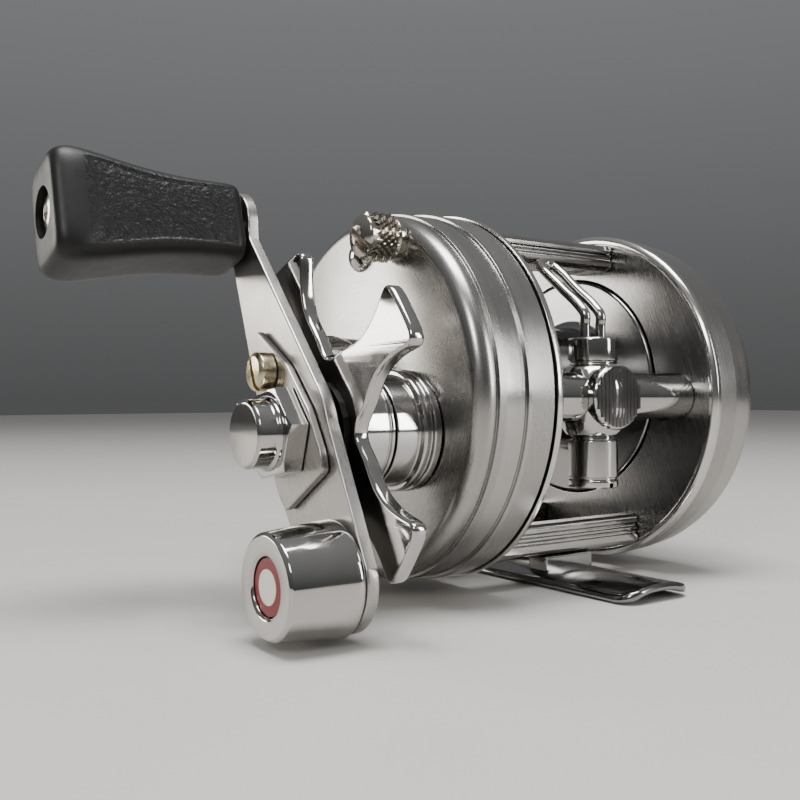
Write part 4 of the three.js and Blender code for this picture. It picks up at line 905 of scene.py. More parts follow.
def build_foot():
    """A plate arched across its width, with rounded rims, and two saddles for the lower bars."""
    box = Box("foot")
    half_width = box.size.x / 2
    half_length = box.size.y / 2
    arch = -box.low.z
    corner = 2.6 * MM
    rim = 0.5 * MM
    shares = [-1, -0.985, -0.95, -0.9] + [-0.8 + 0.1 * step for step in range(17)] + [0.9, 0.95, 0.985, 1]
    stations = [0, 0.12, 0.3, 0.6, 1.0, 1.6, 2.4, 3.4, 5, 8, 12, 18, 24]
    reaches = [half_length - station * MM for station in stations]
    lengths = [-reach for reach in reaches] + [reach for reach in reversed(reaches)]

    def thinning(from_edge):
        """How much of its thickness the plate has near an edge, for a round rim."""
        inside = min(from_edge / rim, 1.0)
        return math.sqrt(max(1 - (1 - inside) ** 2, 0.0))

    rings = []
    for y in lengths:
        from_tip = half_length - abs(y)
        tuck = max(0.0, corner - from_tip)
        reach = half_width - corner + math.sqrt(max(corner * corner - tuck * tuck, 0.0))
        if from_tip == 0:
            reach = half_width - corner
        top, bottom = [], []
        for share in shares:
            x = share * reach
            drop = arch * (abs(x) / half_width) ** 2.4
            half = FOOT_THICKNESS / 2 * max(min(thinning(reach - abs(x)), thinning(from_tip)), 0.04)
            middle = FOOT_THICKNESS / 2 - drop
            top.append((x, y, middle + half))
            bottom.append((x, y, middle - half))
        rings.append(top + bottom[::-1])
    saddles = []
    for node in ("lower_front_bar", "lower_rear_bar"):
        bar = Box(node)
        low = (-4.6 * MM, bar.low.y, FOOT_THICKNESS * 0.4)
        high = (4.6 * MM, bar.high.y, bar.low.z - 0.1 * MM)
        saddles.append(rounded_block(low, high, 0.3 * MM))
    # The foot and its saddles carry the darker chrome: painted dark reflection and shade over real wear marks.
    present(together(loft(rings), *saddles), "foot", "worn_chrome_painted_dark")

    for node in ("foot_rivet_front", "foot_rivet_rear"):
        rivet = Box(node)
        radius = rivet.size.x / 2
        head = 0.6 * MM
        profile = [
            (0, rivet.low.z + 0.05 * MM),
            (radius, rivet.low.z + 0.05 * MM),
            (radius, rivet.low.z + head),
            (radius * 0.55, rivet.low.z + head),
            (radius * 0.55, rivet.high.z),
            (0, rivet.high.z),
        ]
        place = (rivet.middle.x, rivet.middle.y)
        present(turned(profile, place, 0.1, SMALL_SIDES, "Z"), node, "nickelled_steel")


# ---------------------------------------------------------------- screws and caps
def build_thumbscrews():
    """Round heads with a diamond knurl, a plain collar and a coin slot across a domed front."""
    for node in ("thumbscrew_top", "thumbscrew_bottom"):
        box = Box(node)
        place = (box.middle.y, box.middle.z)
        radius = box.size.y / 2
        front = box.low.x
        back = front + 6 * MM
        core = radius - 0.42 * MM
        head = turned(
            [
                (0, back),
                (radius - 0.25 * MM, back),
                (radius - 0.25 * MM, back - 0.9 * MM),
                (core, back - 1.1 * MM),
                (core, front + 1.2 * MM),
                (radius - 0.3 * MM, front + 1.2 * MM, 0.1 * MM),
                (radius - 0.3 * MM, front + 0.75 * MM, 0.2 * MM),
                (core * 0.62, front + 0.12 * MM, 0.8 * MM),
                (0, front),
            ],
            place,
            0.15,
            SMALL_SIDES,
        )
        slot = slot_cutter(
            place, front - MM, front + 1.1 * MM, 0.45 * MM, radius * 1.5, math.radians(40), 0.05 * MM
        )
        shank = rod_along_x(1.1 * MM, back - 0.1 * MM, box.high.x, place, 32)
        rows, around = 6, 22
        pitch = (back - front - 2.9 * MM) / rows
        studs = grow(
            stud_ring_group,
            Rows=rows,
            Around=around,
            Radius=core + 0.12 * MM,
            Start=front + 1.75 * MM + pitch / 2,
            Pitch=pitch,
            Length=pitch * 0.96,
            Width=FULL_TURN * core / around * 0.48,
            Height=0.5 * MM,
            **{"Centre Y": place[0], "Centre Z": place[1]},
        )
        present(together(cut(head, slot), shank, studs), node, "nickelled_steel")


def domed_head(box, out, slot_angle=None):
    """A low dome on a short collar, facing outwards along X."""
    place = (box.middle.y, box.middle.z)
    radius = box.size.z / 2
    seat = box.high.x if out < 0 else box.low.x
    height = box.size.x
    dome = [
        (
            radius * math.cos(math.pi / 2 * step / 12),
            seat + out * (0.3 * MM + (height - 0.3 * MM) * math.sin(math.pi / 2 * step / 12)),
            0,
        )
        for step in range(12)
    ]
    head = turned([(0, seat), (radius, seat), *dome, (0, seat + out * height)], place, 0.03, SMALL_SIDES)
    if slot_angle is None:
        return head
    floor, beyond = sorted((seat + out * height * 0.55, seat + out * (height + MM)))
    return cut(head, slot_cutter(place, floor, beyond, 0.25 * MM, 2 * radius, slot_angle, 0.03 * MM))


def build_small_screws():
    """The keeper screw and the screws of the tail cover."""
    present(domed_head(Box("keeper_screw"), -1), "keeper_screw", "chrome")
    for node, angle in (("tail_cover_screw_1", 0.5), ("tail_cover_screw_2", -0.9)):
        present(domed_head(Box(node), 1, angle), node, "nickelled_steel")


def build_caps():
    """The two cups on the spool's axis, with straight knurling round the wall."""
    for node, out in (("tension_cap", -1), ("tail_bearing_cap", 1)):
        box = Box(node)
        radius = box.size.z / 2
        base = box.high.x if out < 0 else box.low.x
        top = base + out * box.size.x
        inner = radius - 0.65 * MM
        core = radius - 0.2 * MM
        roof = top - out * 1.2 * MM
        cup = turned(
            [
                (0, roof),
                (inner, roof),
                (inner, base),
                (radius - 0.1 * MM, base),
                (radius - 0.1 * MM, base + out * 0.8 * MM),
                (core, base + out * 0.9 * MM),
                (core, top, 0.7 * MM),
                (core * 0.55, top),
                (core * 0.5, top - out * 0.15 * MM),
                (core * 0.42, top - out * 0.15 * MM),
                (core * 0.38, top),
                (0, top),
            ],
            SPOOL,
            0.1,
        )
        length = abs(top - base) - 2.2 * MM
        ribs = grow(
            stud_ring_group,
            Rows=1,
            Around=60,
            Radius=core,
            Start=base + out * (1.0 * MM + length / 2),
            Pitch=0.0,
            Length=length / 2 * 1.3,
            Width=0.3 * MM,
            Height=0.36 * MM,
            **{"Centre Y": SPOOL[0], "Centre Z": SPOOL[1]},
        )
        present(together(cup, ribs), node, "polished_aluminium")


# ---------------------------------------------------------------- crank
def build_boss():
    """The turned boss on the cover that carries the drive shaft."""
    box = Box("crank_boss")
    flange = box.size.z / 2
    boss = flange - 0.8 * MM
    bore = 2.15 * MM
    sleeve = 4.4 * MM
    seat = Box("crank_cover").low.x + 3.2 * MM
    flange_front = seat - 2.5 * MM
    front = box.low.x
    profile = [
        (bore, box.high.x),
        (sleeve, box.high.x),
        (sleeve, seat),
        (flange, seat),
        (flange, seat - 0.95 * MM, 0.2 * MM),
        (flange - 0.45 * MM, seat - 1.1 * MM),
        (flange - 0.45 * MM, seat - 1.45 * MM),
        (flange - 0.05 * MM, seat - 1.6 * MM),
        (flange - 0.05 * MM, flange_front, 0.45 * MM),
        (boss, flange_front, 0.3 * MM),
        (boss, front, 0.2 * MM),
        (bore, front),
        (bore, box.high.x),
    ]
    present(turned(profile, CRANK, 0.12), "crank_boss", "chrome")


STAR_ARMS = 5


def smooth_loop(points, steps=6):
    """A smooth closed curve (a uniform cubic B-spline) led by its points."""
    outline = []
    count = len(points)
    for index in range(count):
        a, b, c, d = (Vector(points[(index + shift) % count]) for shift in range(4))
        for step in range(steps):
            t = step / steps
            outline.append(
                tuple(
                    (
                        a * (1 - t) ** 3
                        + b * (3 * t**3 - 6 * t**2 + 4)
                        + c * (-3 * t**3 + 3 * t**2 + 3 * t + 1)
                        + d * t**3
                    )
                    / 6
                )
            )
    return outline


def star_outline(tip, valley, first_angle):
    """Five arms with flared tips, joined by smooth hollows."""
    step = FULL_TURN / STAR_ARMS
    # half of one arm, from the hollow to the tip: reach and half width as shares of the tip's radius
    half = [
        (0.47, 0.19),
        (0.58, 0.125),
        (0.7, 0.115),
        (0.82, 0.135),
        (0.92, 0.18),
        (0.955, 0.18),
        (0.985, 0.145),
        (0.99, 0.07),
    ]
    points = []
    for arm in range(STAR_ARMS):
        middle = first_angle + arm * step
        outward = Vector((math.cos(middle), math.sin(middle)))
        across = Vector((-outward.y, outward.x))
        low = middle - step / 2
        points.append(Vector(CRANK) + valley * 0.95 * Vector((math.cos(low), math.sin(low))))
        for side, order in ((-1, half), (1, half[::-1])):
            for reach, width in order:
                points.append(Vector(CRANK) + outward * reach * tip + across * side * width * tip)
    return smooth_loop(points)


def build_star():
    """The star drag: its hub and its five arms."""
    box = Box("star_wheel")
    settings = bpy.context.scene.reel_settings
    first = math.radians(180 - settings.star_angle)
    thickness = 1.8 * MM
    hub_radius = Box("crank_boss").size.z / 2 - 0.8 * MM
    bore = 2.15 * MM
    star = flat_plate(
        star_outline(settings.star_radius, 8.3 * MM, first),
        [circle(bore, CRANK, SMALL_SIDES)],
        box.low.x,
        box.low.x + thickness,
        0.45 * MM,
        4,
    )
    hub_front = box.low.x + thickness - 0.2 * MM
    hub = turned(
        [
            (bore, hub_front),
            (hub_radius + 0.4 * MM, hub_front),
            (hub_radius + 0.4 * MM, hub_front + 0.7 * MM, 0.3 * MM),
            (hub_radius, hub_front + 0.9 * MM),
            (hub_radius, box.high.x - 0.8 * MM),
            (hub_radius - 0.25 * MM, box.high.x - 0.7 * MM),
            (hub_radius - 0.25 * MM, box.high.x - 0.5 * MM),
            (hub_radius, box.high.x - 0.4 * MM),
            (hub_radius, box.high.x),
            (bore, box.high.x),
            (bore, hub_front),
        ],
        CRANK,
        0.12,
    )
    present(together(star, hub), "star_wheel", "chrome")


def along_arm(distance, sideways=0.0):
    """A point on the handle arm, from the crank axis towards the knob."""
    c, s = math.cos(ARM_ANGLE), math.sin(ARM_ANGLE)
    return (CRANK[0] + distance * c - sideways * s, CRANK[1] + distance * s + sideways * c)


def distance_between(first, second):
    """How far apart two (y, z) places are."""
    return math.hypot(first[0] - second[0], first[1] - second[1])


def build_arm():
    """The flat handle arm, widest at the crank, with round ends."""
    box = Box("handle_arm")
    weight = Box("counterweight")
    knob_end = 4.3 * MM
    throw = distance_between(KNOB, CRANK) + 0.9 * MM
    heel = distance_between((weight.middle.y, weight.middle.z), CRANK)
    hub_half = 7.4 * MM
    neck_half = 2.75 * MM
    heel_radius = weight.size.z / 2 - 0.4 * MM
    outline = []

    def arc(centre, radius, start, end, count=28):
        for index in range(count + 1):
            angle = start + (end - start) * index / count
            outline.append(along_arm(centre + radius * math.cos(angle), radius * math.sin(angle)))

    def turn_at(distance, half, softness):
        """The rounded widest place of the arm."""
        side = math.copysign(1, half)
        for index in range(-6, 7):
            t = index / 6
            along = distance - side * t * softness
            outline.append(along_arm(along, half - side * t * t * softness * 0.13))

    neck_angle = math.radians(128)
    arc(throw, knob_end, -neck_angle, neck_angle)
    outline.append(along_arm(throw - knob_end * 0.95, neck_half))
    turn_at(0, hub_half, 2.5 * MM)
    heel_angle = math.radians(103)
    arc(-heel, heel_radius, heel_angle, 2 * math.pi - heel_angle, 40)
    turn_at(0, -hub_half, 2.5 * MM)
    outline.append(along_arm(throw - knob_end * 0.95, -neck_half))
    arm = flat_plate(
        outline,
        [circle(2.1 * MM, CRANK, SMALL_SIDES), circle(1.66 * MM, KNOB, SMALL_SIDES)],
        box.low.x,
        box.high.x,
        0.22 * MM,
        3,
    )
    present(arm, "handle_arm", "brushed_steel")


def build_lock_plate():
    """A pointed plate under the nut, held by a slotted screw."""
    box = Box("lock_plate")
    half = 5.5 * MM
    shape = [
        (-7.5, -0.88),
        (-5.5, -1.0),
        (0.0, -1.0),
        (6.8, -0.72),
        (14.2, 0.0),
        (6.8, 0.72),
        (0.0, 1.0),
        (-5.5, 1.0),
        (-7.5, 0.88),
    ]
    corners = [along_arm(distance * MM, side * half) for distance, side in shape]
    outline = soften([corners[-1], *corners, corners[0]], 0.6 * MM)[1:-1]
    plate = flat_plate(
        outline, [circle(2.1 * MM, CRANK, SMALL_SIDES)], box.low.x, box.high.x, 0.18 * MM, 3
    )
    present(plate, "lock_plate", "brushed_steel")

    screw = Box("lock_screw")
    place = (screw.middle.y, screw.middle.z)
    radius = screw.size.z / 2
    head = turned(
        [
            (0, screw.high.x),
            (radius, screw.high.x),
            (radius, screw.low.x + 0.5 * MM),
            (radius * 0.8, screw.low.x + 0.08 * MM, 0.8 * MM),
            (0, screw.low.x),
        ],
        place,
        0.12,
        SMALL_SIDES,
    )
    slot = slot_cutter(
        place, screw.low.x - MM, screw.low.x + 0.9 * MM, 0.32 * MM, 2 * radius, math.radians(70), 0.04 * MM
    )
    present(cut(head, slot), "lock_screw", "brass")


def build_nut():
    """A hexagon with turned-down corners and a round cap in front."""
    box = Box("handle_nut")
    across = 5.5 * MM
    hex_front = box.high.x - 2.5 * MM
    corners = [
        (
            CRANK[0] + across * math.cos(-math.radians(12) + FULL_TURN * side / 6),
            CRANK[1] + across * math.sin(-math.radians(12) + FULL_TURN * side / 6),
        )
        for side in range(6)
    ]
    prism = flat_plate(corners, [], hex_front, box.high.x, 0.12 * MM, 2)
    chamfer = 0.85 * MM
    outer = across * 1.3
    shave = turned(
        [
            (across * 0.86, hex_front - MM),
            (outer, hex_front - MM),
            (outer, hex_front + chamfer * 1.4),
            (across * 0.86, hex_front - 0.02 * MM),
            (across * 0.86, hex_front - MM),
        ],
        CRANK,
        0,
    )
    cap_radius = 3.9 * MM
    cap = turned(
        [
            (0, hex_front + 0.5 * MM),
            (cap_radius + 0.35 * MM, hex_front + 0.5 * MM),
            (cap_radius + 0.35 * MM, hex_front - 0.25 * MM, 0.2 * MM),
            (cap_radius, hex_front - 0.5 * MM, 0.2 * MM),
            (cap_radius, box.low.x + 0.3 * MM, 0.1 * MM),
            (cap_radius - 0.35 * MM, box.low.x, 0.15 * MM),
            (0, box.low.x),
        ],
        CRANK,
        0.15,
    )
    socket = rod_along_x(2.1 * MM, hex_front + 1.0 * MM, box.high.x + MM, CRANK)
    present(together(cut(prism, shave, socket), cap), "handle_nut", "chrome")


def build_counterweight():
    """The tapered weight, and the enamel badge sunk in its end."""
    box = Box("counterweight")
    place = (box.middle.y, box.middle.z)
    rear = box.size.z / 2
    front = 5.5 * MM
    badge = Box("counterweight_badge")
    recess = badge.size.z / 2 + 0.12 * MM
    low = box.low.x
    profile = [
        (0, box.high.x),
        (rear - 0.5 * MM, box.high.x),
        (rear - 0.05 * MM, box.high.x - 0.5 * MM, 0.3 * MM),
        (rear - 0.05 * MM, box.high.x - 1.0 * MM, 0.2 * MM),
        (front + 0.1 * MM, low + 0.35 * MM, 0.1 * MM),
        (front - 0.25 * MM, low, 0.1 * MM),
        (recess + 0.3 * MM, low + 0.03 * MM),
        (recess, low + 0.25 * MM),
        (recess, badge.high.x + 0.05 * MM),
        (0, badge.high.x + 0.05 * MM),
    ]
    present(turned(profile, place, 0.12, 160), "counterweight", "chrome")

    radius = badge.size.z / 2
    enamel = turned(
        [
            (0, badge.high.x),
            (radius, badge.high.x),
            (radius, badge.low.x + 0.12 * MM, 0.1 * MM),
            (0, badge.low.x + 0.06 * MM),
        ],
        place,
        0.05,
    )
    mark_radius = radius * 0.62
    mark = turned(
        [
            (0, badge.low.x + 0.2 * MM),
            (mark_radius, badge.low.x + 0.2 * MM),
            (mark_radius, badge.low.x),
            (0, badge.low.x),
        ],
        place,
        0.04,
        SMALL_SIDES,
    )
    present(together((enamel, 0), (mark, 1)), "counterweight_badge", "red_badge", "badge_mark")


KNOB_HALF_THICKNESS = 4.9 * MM
KNOB_END_HALF_HEIGHT = 7.0 * MM


def build_knob():
    """A moulded paddle: narrow at the arm, waisted, and broad at its outer end."""
    box = Box("knob")
    length = box.size.x
    stations = [
        (0.0, 0.60, 0.66),
        (0.015, 0.68, 0.86),
        (0.05, 0.715, 0.98),
        (0.16, 0.70, 1.0),
        (0.36, 0.72, 0.97),
        (0.56, 0.81, 0.98),
        (0.74, 0.93, 1.03),
        (0.86, 0.998, 1.06),
        (0.92, 0.995, 1.06),
        (0.965, 0.95, 1.0),
        (0.99, 0.87, 0.88),
        (1.0, 0.76, 0.76),
    ]
    sides = 56
    corner = 0.36  # exponent of a rounded rectangle: 1 gives an ellipse

    def rounded(value):
        return math.copysign(abs(value) ** corner, value)

    rings = []
    for share, height, depth in stations:
        x = box.high.x - share * length
        angles = (FULL_TURN * side / sides for side in range(sides))
        rings.append(
            [
                (
                    x,
                    KNOB_HALF_THICKNESS * depth * rounded(math.cos(angle)),
                    KNOB_END_HALF_HEIGHT * height * rounded(math.sin(angle)),
                )
                for angle in angles
            ]
        )
    thing = as_object(loft(rings))
    smooth = thing.modifiers.new("smooth", "SUBSURF")
    smooth.levels = smooth.render_levels = 2
    made = as_bmesh(evaluated(thing))
    sink_sides(made, box)
    place = Matrix.Translation((0, *KNOB)) @ Matrix.Rotation(-KNOB_TILT, 4, "X")
    bmesh.ops.transform(made, matrix=place, verts=made.verts)
    bore = rod_along_x(1.75 * MM, box.low.x - MM, box.high.x + MM, KNOB)
    pocket = rod_along_x(3.0 * MM, box.low.x - MM, box.low.x + 1.6 * MM, KNOB)
    present(cut(made, bore, pocket), "knob", "black_knob")


def sink_sides(made, box):
    """Sinks the broad sides a little inside their borders, which leaves a low smooth rim."""
    half_length = box.size.x / 2
    for vertex in made.verts:
        share_x = (box.high.x - vertex.co.x) / (2 * half_length)
        half_height = KNOB_END_HALF_HEIGHT * (0.7 + 0.28 * smooth_step(0.36, 0.86, share_x))
        share_z = abs(vertex.co.z) / half_height
        if abs(vertex.co.y) < KNOB_HALF_THICKNESS * 0.7:
            continue
        inside_ends = min(smooth_step(0.05, 0.1, share_x), smooth_step(0.84, 0.78, share_x))
        hold = min(inside_ends, smooth_step(0.8, 0.7, share_z))
        vertex.co.y -= math.copysign(0.22 * MM * hold, vertex.co.y)


def smooth_step(start, end, value):
    """Rises smoothly from 0 at the start to 1 at the end."""
    t = min(max((value - start) / (end - start), 0.0), 1.0)
    return t * t * (3 - 2 * t)


def build_spindle():
    """The pin that the knob turns on, with a hollow rivet head."""
    box = Box("knob_spindle")
    knob = Box("knob")
    shaft = 1.6 * MM
    head_back = knob.low.x + 1.3 * MM
    profile = [
        (0, box.high.x),
        (shaft, box.high.x),
        (shaft, head_back),
        (2.4 * MM, head_back),
        (2.3 * MM, head_back - 0.55 * MM, 0.3 * MM),
        (0.9 * MM, box.low.x + 0.02 * MM),
        (0.7 * MM, box.low.x + 0.3 * MM),
        (0, box.low.x + 0.3 * MM),
    ]
    present(turned(profile, KNOB, 0.12, SMALL_SIDES), "knob_spindle", "nickelled_steel")


# ---------------------------------------------------------------- level wind
def build_tube():
    """The level wind tube, with its long slot below."""
    box = Box("level_wind_tube")
    radius = box.size.z / 2
    inner = radius - 0.6 * MM
    wall = 2 * MM
    end = 1.35 * MM
    profile = [
        (end, box.low.x),
        (radius, box.low.x),
        (radius, box.high.x),
        (end, box.high.x),
        (end, box.high.x - wall),
        (inner, box.high.x - wall),
        (inner, box.low.x + wall),
        (end, box.low.x + wall),
        (end, box.low.x),
    ]
    tube = turned(profile, WORM, 0.08)
    slot_reach, slot_half = 11.6 * MM, 1.35 * MM
    slot = rounded_block(
        (-slot_reach, WORM[0] - slot_half, WORM[1] - radius - MM),
        (slot_reach, WORM[0] + slot_half, WORM[1]),
        0.2 * MM,
    )
    present(cut(tube, slot), "level_wind_tube", "chrome")


PAWL_BORE = 1.25 * MM
PAD_RADIUS = 4.0 * MM
PAD_DEPTH = 0.42 * MM  # how far the pad's face lies behind the tops of its ribs
PAD_RIBS = 12


def carriage_body(place, top):
    """The upright round body, with a collar at its top."""
    collar = 3.2 * MM
    belly = 4.85 * MM
    z = WORM[1]
    return turned(
        [
            (0, z - 5 * MM),
            (3.4 * MM, z - 5 * MM),
            (3.9 * MM, z - 4.4 * MM, 0.6 * MM),
            (belly, z - 2.4 * MM, 1.6 * MM),
            (belly, z + 2.0 * MM, 1.6 * MM),
            (3.7 * MM, z + 3.9 * MM, 0.8 * MM),
            (collar - 0.25 * MM, z + 4.3 * MM, 0.2 * MM),
            (collar - 0.25 * MM, z + 4.7 * MM, 0.1 * MM),
            (collar, z + 4.8 * MM),
            (collar, top, 0.35 * MM),
            (collar * 0.45, top),
            (collar * 0.4, top - 0.2 * MM),
            (0, top - 0.2 * MM),
        ],
        place,
        0.2,
        TURNED_SIDES,
        "Z",
    )


def carriage_pad(centre_x, face):
    """The round pad in front, before its ribs."""
    back = WORM[0] - 2 * MM
    return turned(
        [
            (0, back),
            (PAD_RADIUS + 0.3 * MM, back),
            (PAD_RADIUS + 0.3 * MM, face + 0.33 * MM, 0.25 * MM),
            (PAD_RADIUS + 0.05 * MM, face),
            (0, face),
        ],
        (centre_x, WORM[1]),
        0.1,
        TURNED_SIDES,
        "Y",
    )


def build_carriage():
    """The line guide's block and its ribbed pad in front."""
    box = Box("line_guide_carriage")
    centre_x = box.middle.x
    place = (centre_x, WORM[0])
    face = box.low.y + PAD_DEPTH
    z = WORM[1]
    tube = Box("level_wind_tube").size.z / 2 + PLATE_SLIP
    bore, second_bore = (rod_along_x(tube, -20 * MM, 20 * MM, WORM, TURNED_SIDES) for _ in range(2))
    below = z - 6 * MM
    pawl_bore = turned([(0, below), (PAWL_BORE, below), (PAWL_BORE, z), (0, z)], place, 0, 32, "Z")
    ribs = grow(
        rib_row_group,
        Count=PAD_RIBS,
        **{
            "Pad Radius": PAD_RADIUS,
            "Rib Width": 2 * PAD_RADIUS / PAD_RIBS * 0.86,
            "Rib Height": 0.4 * MM,
            "Centre X": centre_x,
            "Centre Z": WORM[1],
            "Front Y": face,
        },
    )
    body = cut(carriage_body(place, box.high.z), bore, pawl_bore)
    pad = cut(carriage_pad(centre_x, face), second_bore)
    present(together(body, pad, ribs), "line_guide_carriage", "chrome")
    build_pawl_cap(place)


def build_pawl_cap(place):
    """The cap under the block that holds the pawl, with a coin slot."""
    centre_x = place[0]
    cap = Box("pawl_cap")
    radius = cap.size.x / 2
    floor = cap.low.z + 1.2 * MM
    profile = [
        (0, floor),
        (PAWL_BORE, floor),
        (PAWL_BORE, cap.high.z),
        (radius - 0.3 * MM, cap.high.z),
        (radius - 0.3 * MM, cap.high.z - 0.4 * MM),
        (radius, cap.high.z - 0.6 * MM),
        (radius, cap.low.z + 1.5 * MM),
        (radius - 0.2 * MM, cap.low.z + 1.4 * MM),
        (radius - 0.2 * MM, cap.low.z + 1.1 * MM),
        (radius, cap.low.z + 1.0 * MM),
        (radius, cap.low.z, 0.5 * MM),
        (radius * 0.5, cap.low.z),
        (0, cap.low.z),
    ]
    made = turned(profile, place, 0.12, TURNED_SIDES, "Z")
    slot = rounded_block(
        (centre_x - 0.35 * MM, WORM[0] - 5 * MM, cap.low.z - MM),
        (centre_x + 0.35 * MM, WORM[0] + 5 * MM, cap.low.z + 0.7 * MM),
        0.04 * MM,
        1,
    )
    present(cut(made, slot), "pawl_cap", "chrome")


def build_wire():
    """One round wire, bent into two uprights that lean back and meet in a hairpin."""
    box = Box("guide_wire")
    radius = 0.7 * MM
    half = 1.45 * MM
    centre_x = box.middle.x
    base = box.low.z
    leg = [
        (0.0, 0.0),
        (0.0, 1.6),
        (0.0, 3.0),
        (0.9, 4.1),
        (4.2, 6.8),
        (7.8, 9.8),
    ]
    peak = (8.9, 10.7)
    points = [(-half, y, z) for y, z in leg]
    points += [(-half * 0.6, *peak), (half * 0.6, *peak)]
    points += [(half, y, z) for y, z in reversed(leg)]
    curve = bpy.data.curves.new("wire", "CURVE")
    curve.dimensions = "3D"
    curve.bevel_depth = radius * 0.98
    curve.bevel_resolution = 5
    curve.use_fill_caps = True
    curve.resolution_u = 10
    spline = curve.splines.new("BEZIER")
    spline.bezier_points.add(len(points) - 1)
    for knot, (x, y, z) in zip(spline.bezier_points, points):
        knot.co = (centre_x + x, WORM[0] + y * MM, base + z * MM)
        knot.handle_left_type = "AUTO"
        knot.handle_right_type = "AUTO"
    thing = bpy.data.objects.new("wire", curve)
    bpy.context.scene.collection.objects.link(thing)
    made = as_bmesh(evaluated(thing))
    bmesh.ops.remove_doubles(made, verts=made.verts, dist=1e-7)
    bmesh.ops.recalc_face_normals(made, faces=made.faces)
    present(made, "guide_wire", "chrome")


# ---------------------------------------------------------------- spool and button
def build_spool():
    """The spool: a drum between two dished flanges."""
    box = Box("spool")
    flange = box.size.z / 2
    thickness = 1.2 * MM
    drum = 9 * MM
    bore = 1.3 * MM

    def half(sign):
        outer = sign * box.high.x
        inner = sign * (box.high.x - thickness)
        return [
            (bore, outer),
            (flange * 0.45, outer),
            (flange * 0.5, outer - sign * 0.35 * MM),
            (flange * 0.82, outer - sign * 0.35 * MM),
            (flange * 0.88, outer),
            (flange, outer, 0.45 * MM),
            (flange, inner, 0.45 * MM),
            (drum + 1.2 * MM, inner, 0.6 * MM),
            (drum, inner - sign * 0.8 * MM, 0.8 * MM),
        ]

    profile = half(-1) + list(reversed(half(1))) + [(bore, -box.high.x)]
    present(turned(profile, SPOOL, 0.12), "spool", "spool_metal")


def build_button():
    """The free-spool button at the back, with its arm inside the cover."""
    box = Box("free_spool_button")
    inner = PLATE_RADIUS - 3.4 * MM
    body = rounded_block((box.low.x, inner, box.low.z), (box.high.x, box.high.y, box.high.z), 0.7 * MM, 4)
    arm = rounded_block(
        (box.high.x - 2.9 * MM, box.low.y, box.middle.z - 1.5 * MM),
        (box.high.x - 2.0 * MM, inner + 0.5 * MM, box.middle.z + 1.5 * MM),
        0.1 * MM,
        2,
    )
    present(together(body, arm), "free_spool_button", "polished_aluminium")


def build_inner_works():
    """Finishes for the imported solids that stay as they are, inside the covers."""
    for node, piece in frame["nodes"].items():
        if piece.hide_render:
            continue
        piece.data.materials.clear()
        piece.data.materials.append(finish_named(SLOT_OF[node]))


# ---------------------------------------------------------------- stage
CAMERA_TURN = (math.radians(89.87), math.radians(0.2), -math.radians(35.2))
SENSOR_WIDTH = 36  # millimetres
HORIZON_GLOW = 0.085
ZENITH_GLOW = 0.3  # added to the horizon's, straight up


def soft_box(name, place, aim, size, power, tint=(1.0, 1.0, 1.0)):
    """A rectangular lamp that faces a point."""
    lamp = bpy.data.lights.new(name, "AREA")
    lamp.shape = "RECTANGLE"
    lamp.size, lamp.size_y = size
    lamp.energy = power
    lamp.color = tint
    thing = bpy.data.objects.new(name, lamp)
    bpy.context.scene.collection.objects.link(thing)
    thing.location = place
    thing.rotation_euler = (Vector(aim) - Vector(place)).to_track_quat("-Z", "Y").to_euler()


def build_stage():
    """The floor, the lamps, the sky and the camera."""
    settings = bpy.context.scene.reel_settings
    floor_level = min(Box("foot").low.z, Box("counterweight").low.z)
    made = bmesh.new()
    bmesh.ops.create_grid(made, x_segments=1, y_segments=1, size=1.5)
    bmesh.ops.translate(made, vec=(0, 0, floor_level), verts=made.verts)
    floor = as_object(made, "floor")
    f = Finish("pale floor")
    speckle = f.noise(f.place, 60.0, 4.0)
    tone = f.blend(speckle, shade(settings.floor_colour, 0.94), settings.floor_colour)
    floor.data.materials.append(f.finish(0.55, speckle, 0.02, 0.0001, Base_Color=tone))

    middle = Vector((-0.01, 0, 0.025))
    soft_box("overhead", (-0.05, -0.08, 0.5), middle, (0.3, 0.22), 4.4)
    soft_box("front right", (0.34, -0.5, 0.2), middle, (0.09, 0.3), 1.5)
    soft_box("behind left", (-0.42, 0.52, 0.16), middle, (0.26, 0.2), 1.6, (1.0, 0.96, 0.9))
    soft_box("front left", (-0.45, -0.3, 0.34), middle, (0.14, 0.14), 1.2)

    world = bpy.data.worlds.new("studio")
    bpy.context.scene.world = world
    world.use_nodes = True
    background = world.node_tree.nodes["Background"]
    sky = Tree(world.node_tree)
    height = sky.parts(sky.add("ShaderNodeTexCoord", output=0))[2]
    glow = sky.math("MAXIMUM", height, 0.0) * ZENITH_GLOW + HORIZON_GLOW
    sky.put(background.inputs["Color"], (0.97, 0.98, 1.0, 1.0))
    sky.put(background.inputs["Strength"], glow)

    lens = bpy.data.cameras.new("camera")
    lens.lens = settings.lens
    lens.sensor_width = SENSOR_WIDTH
    lens.clip_start = 10 * MM
    camera = bpy.data.objects.new("camera", lens)
    bpy.context.scene.collection.objects.link(camera)
    camera.location = Vector(settings.camera_place)
    camera.rotation_euler = CAMERA_TURN
    bpy.context.scene.camera = camera


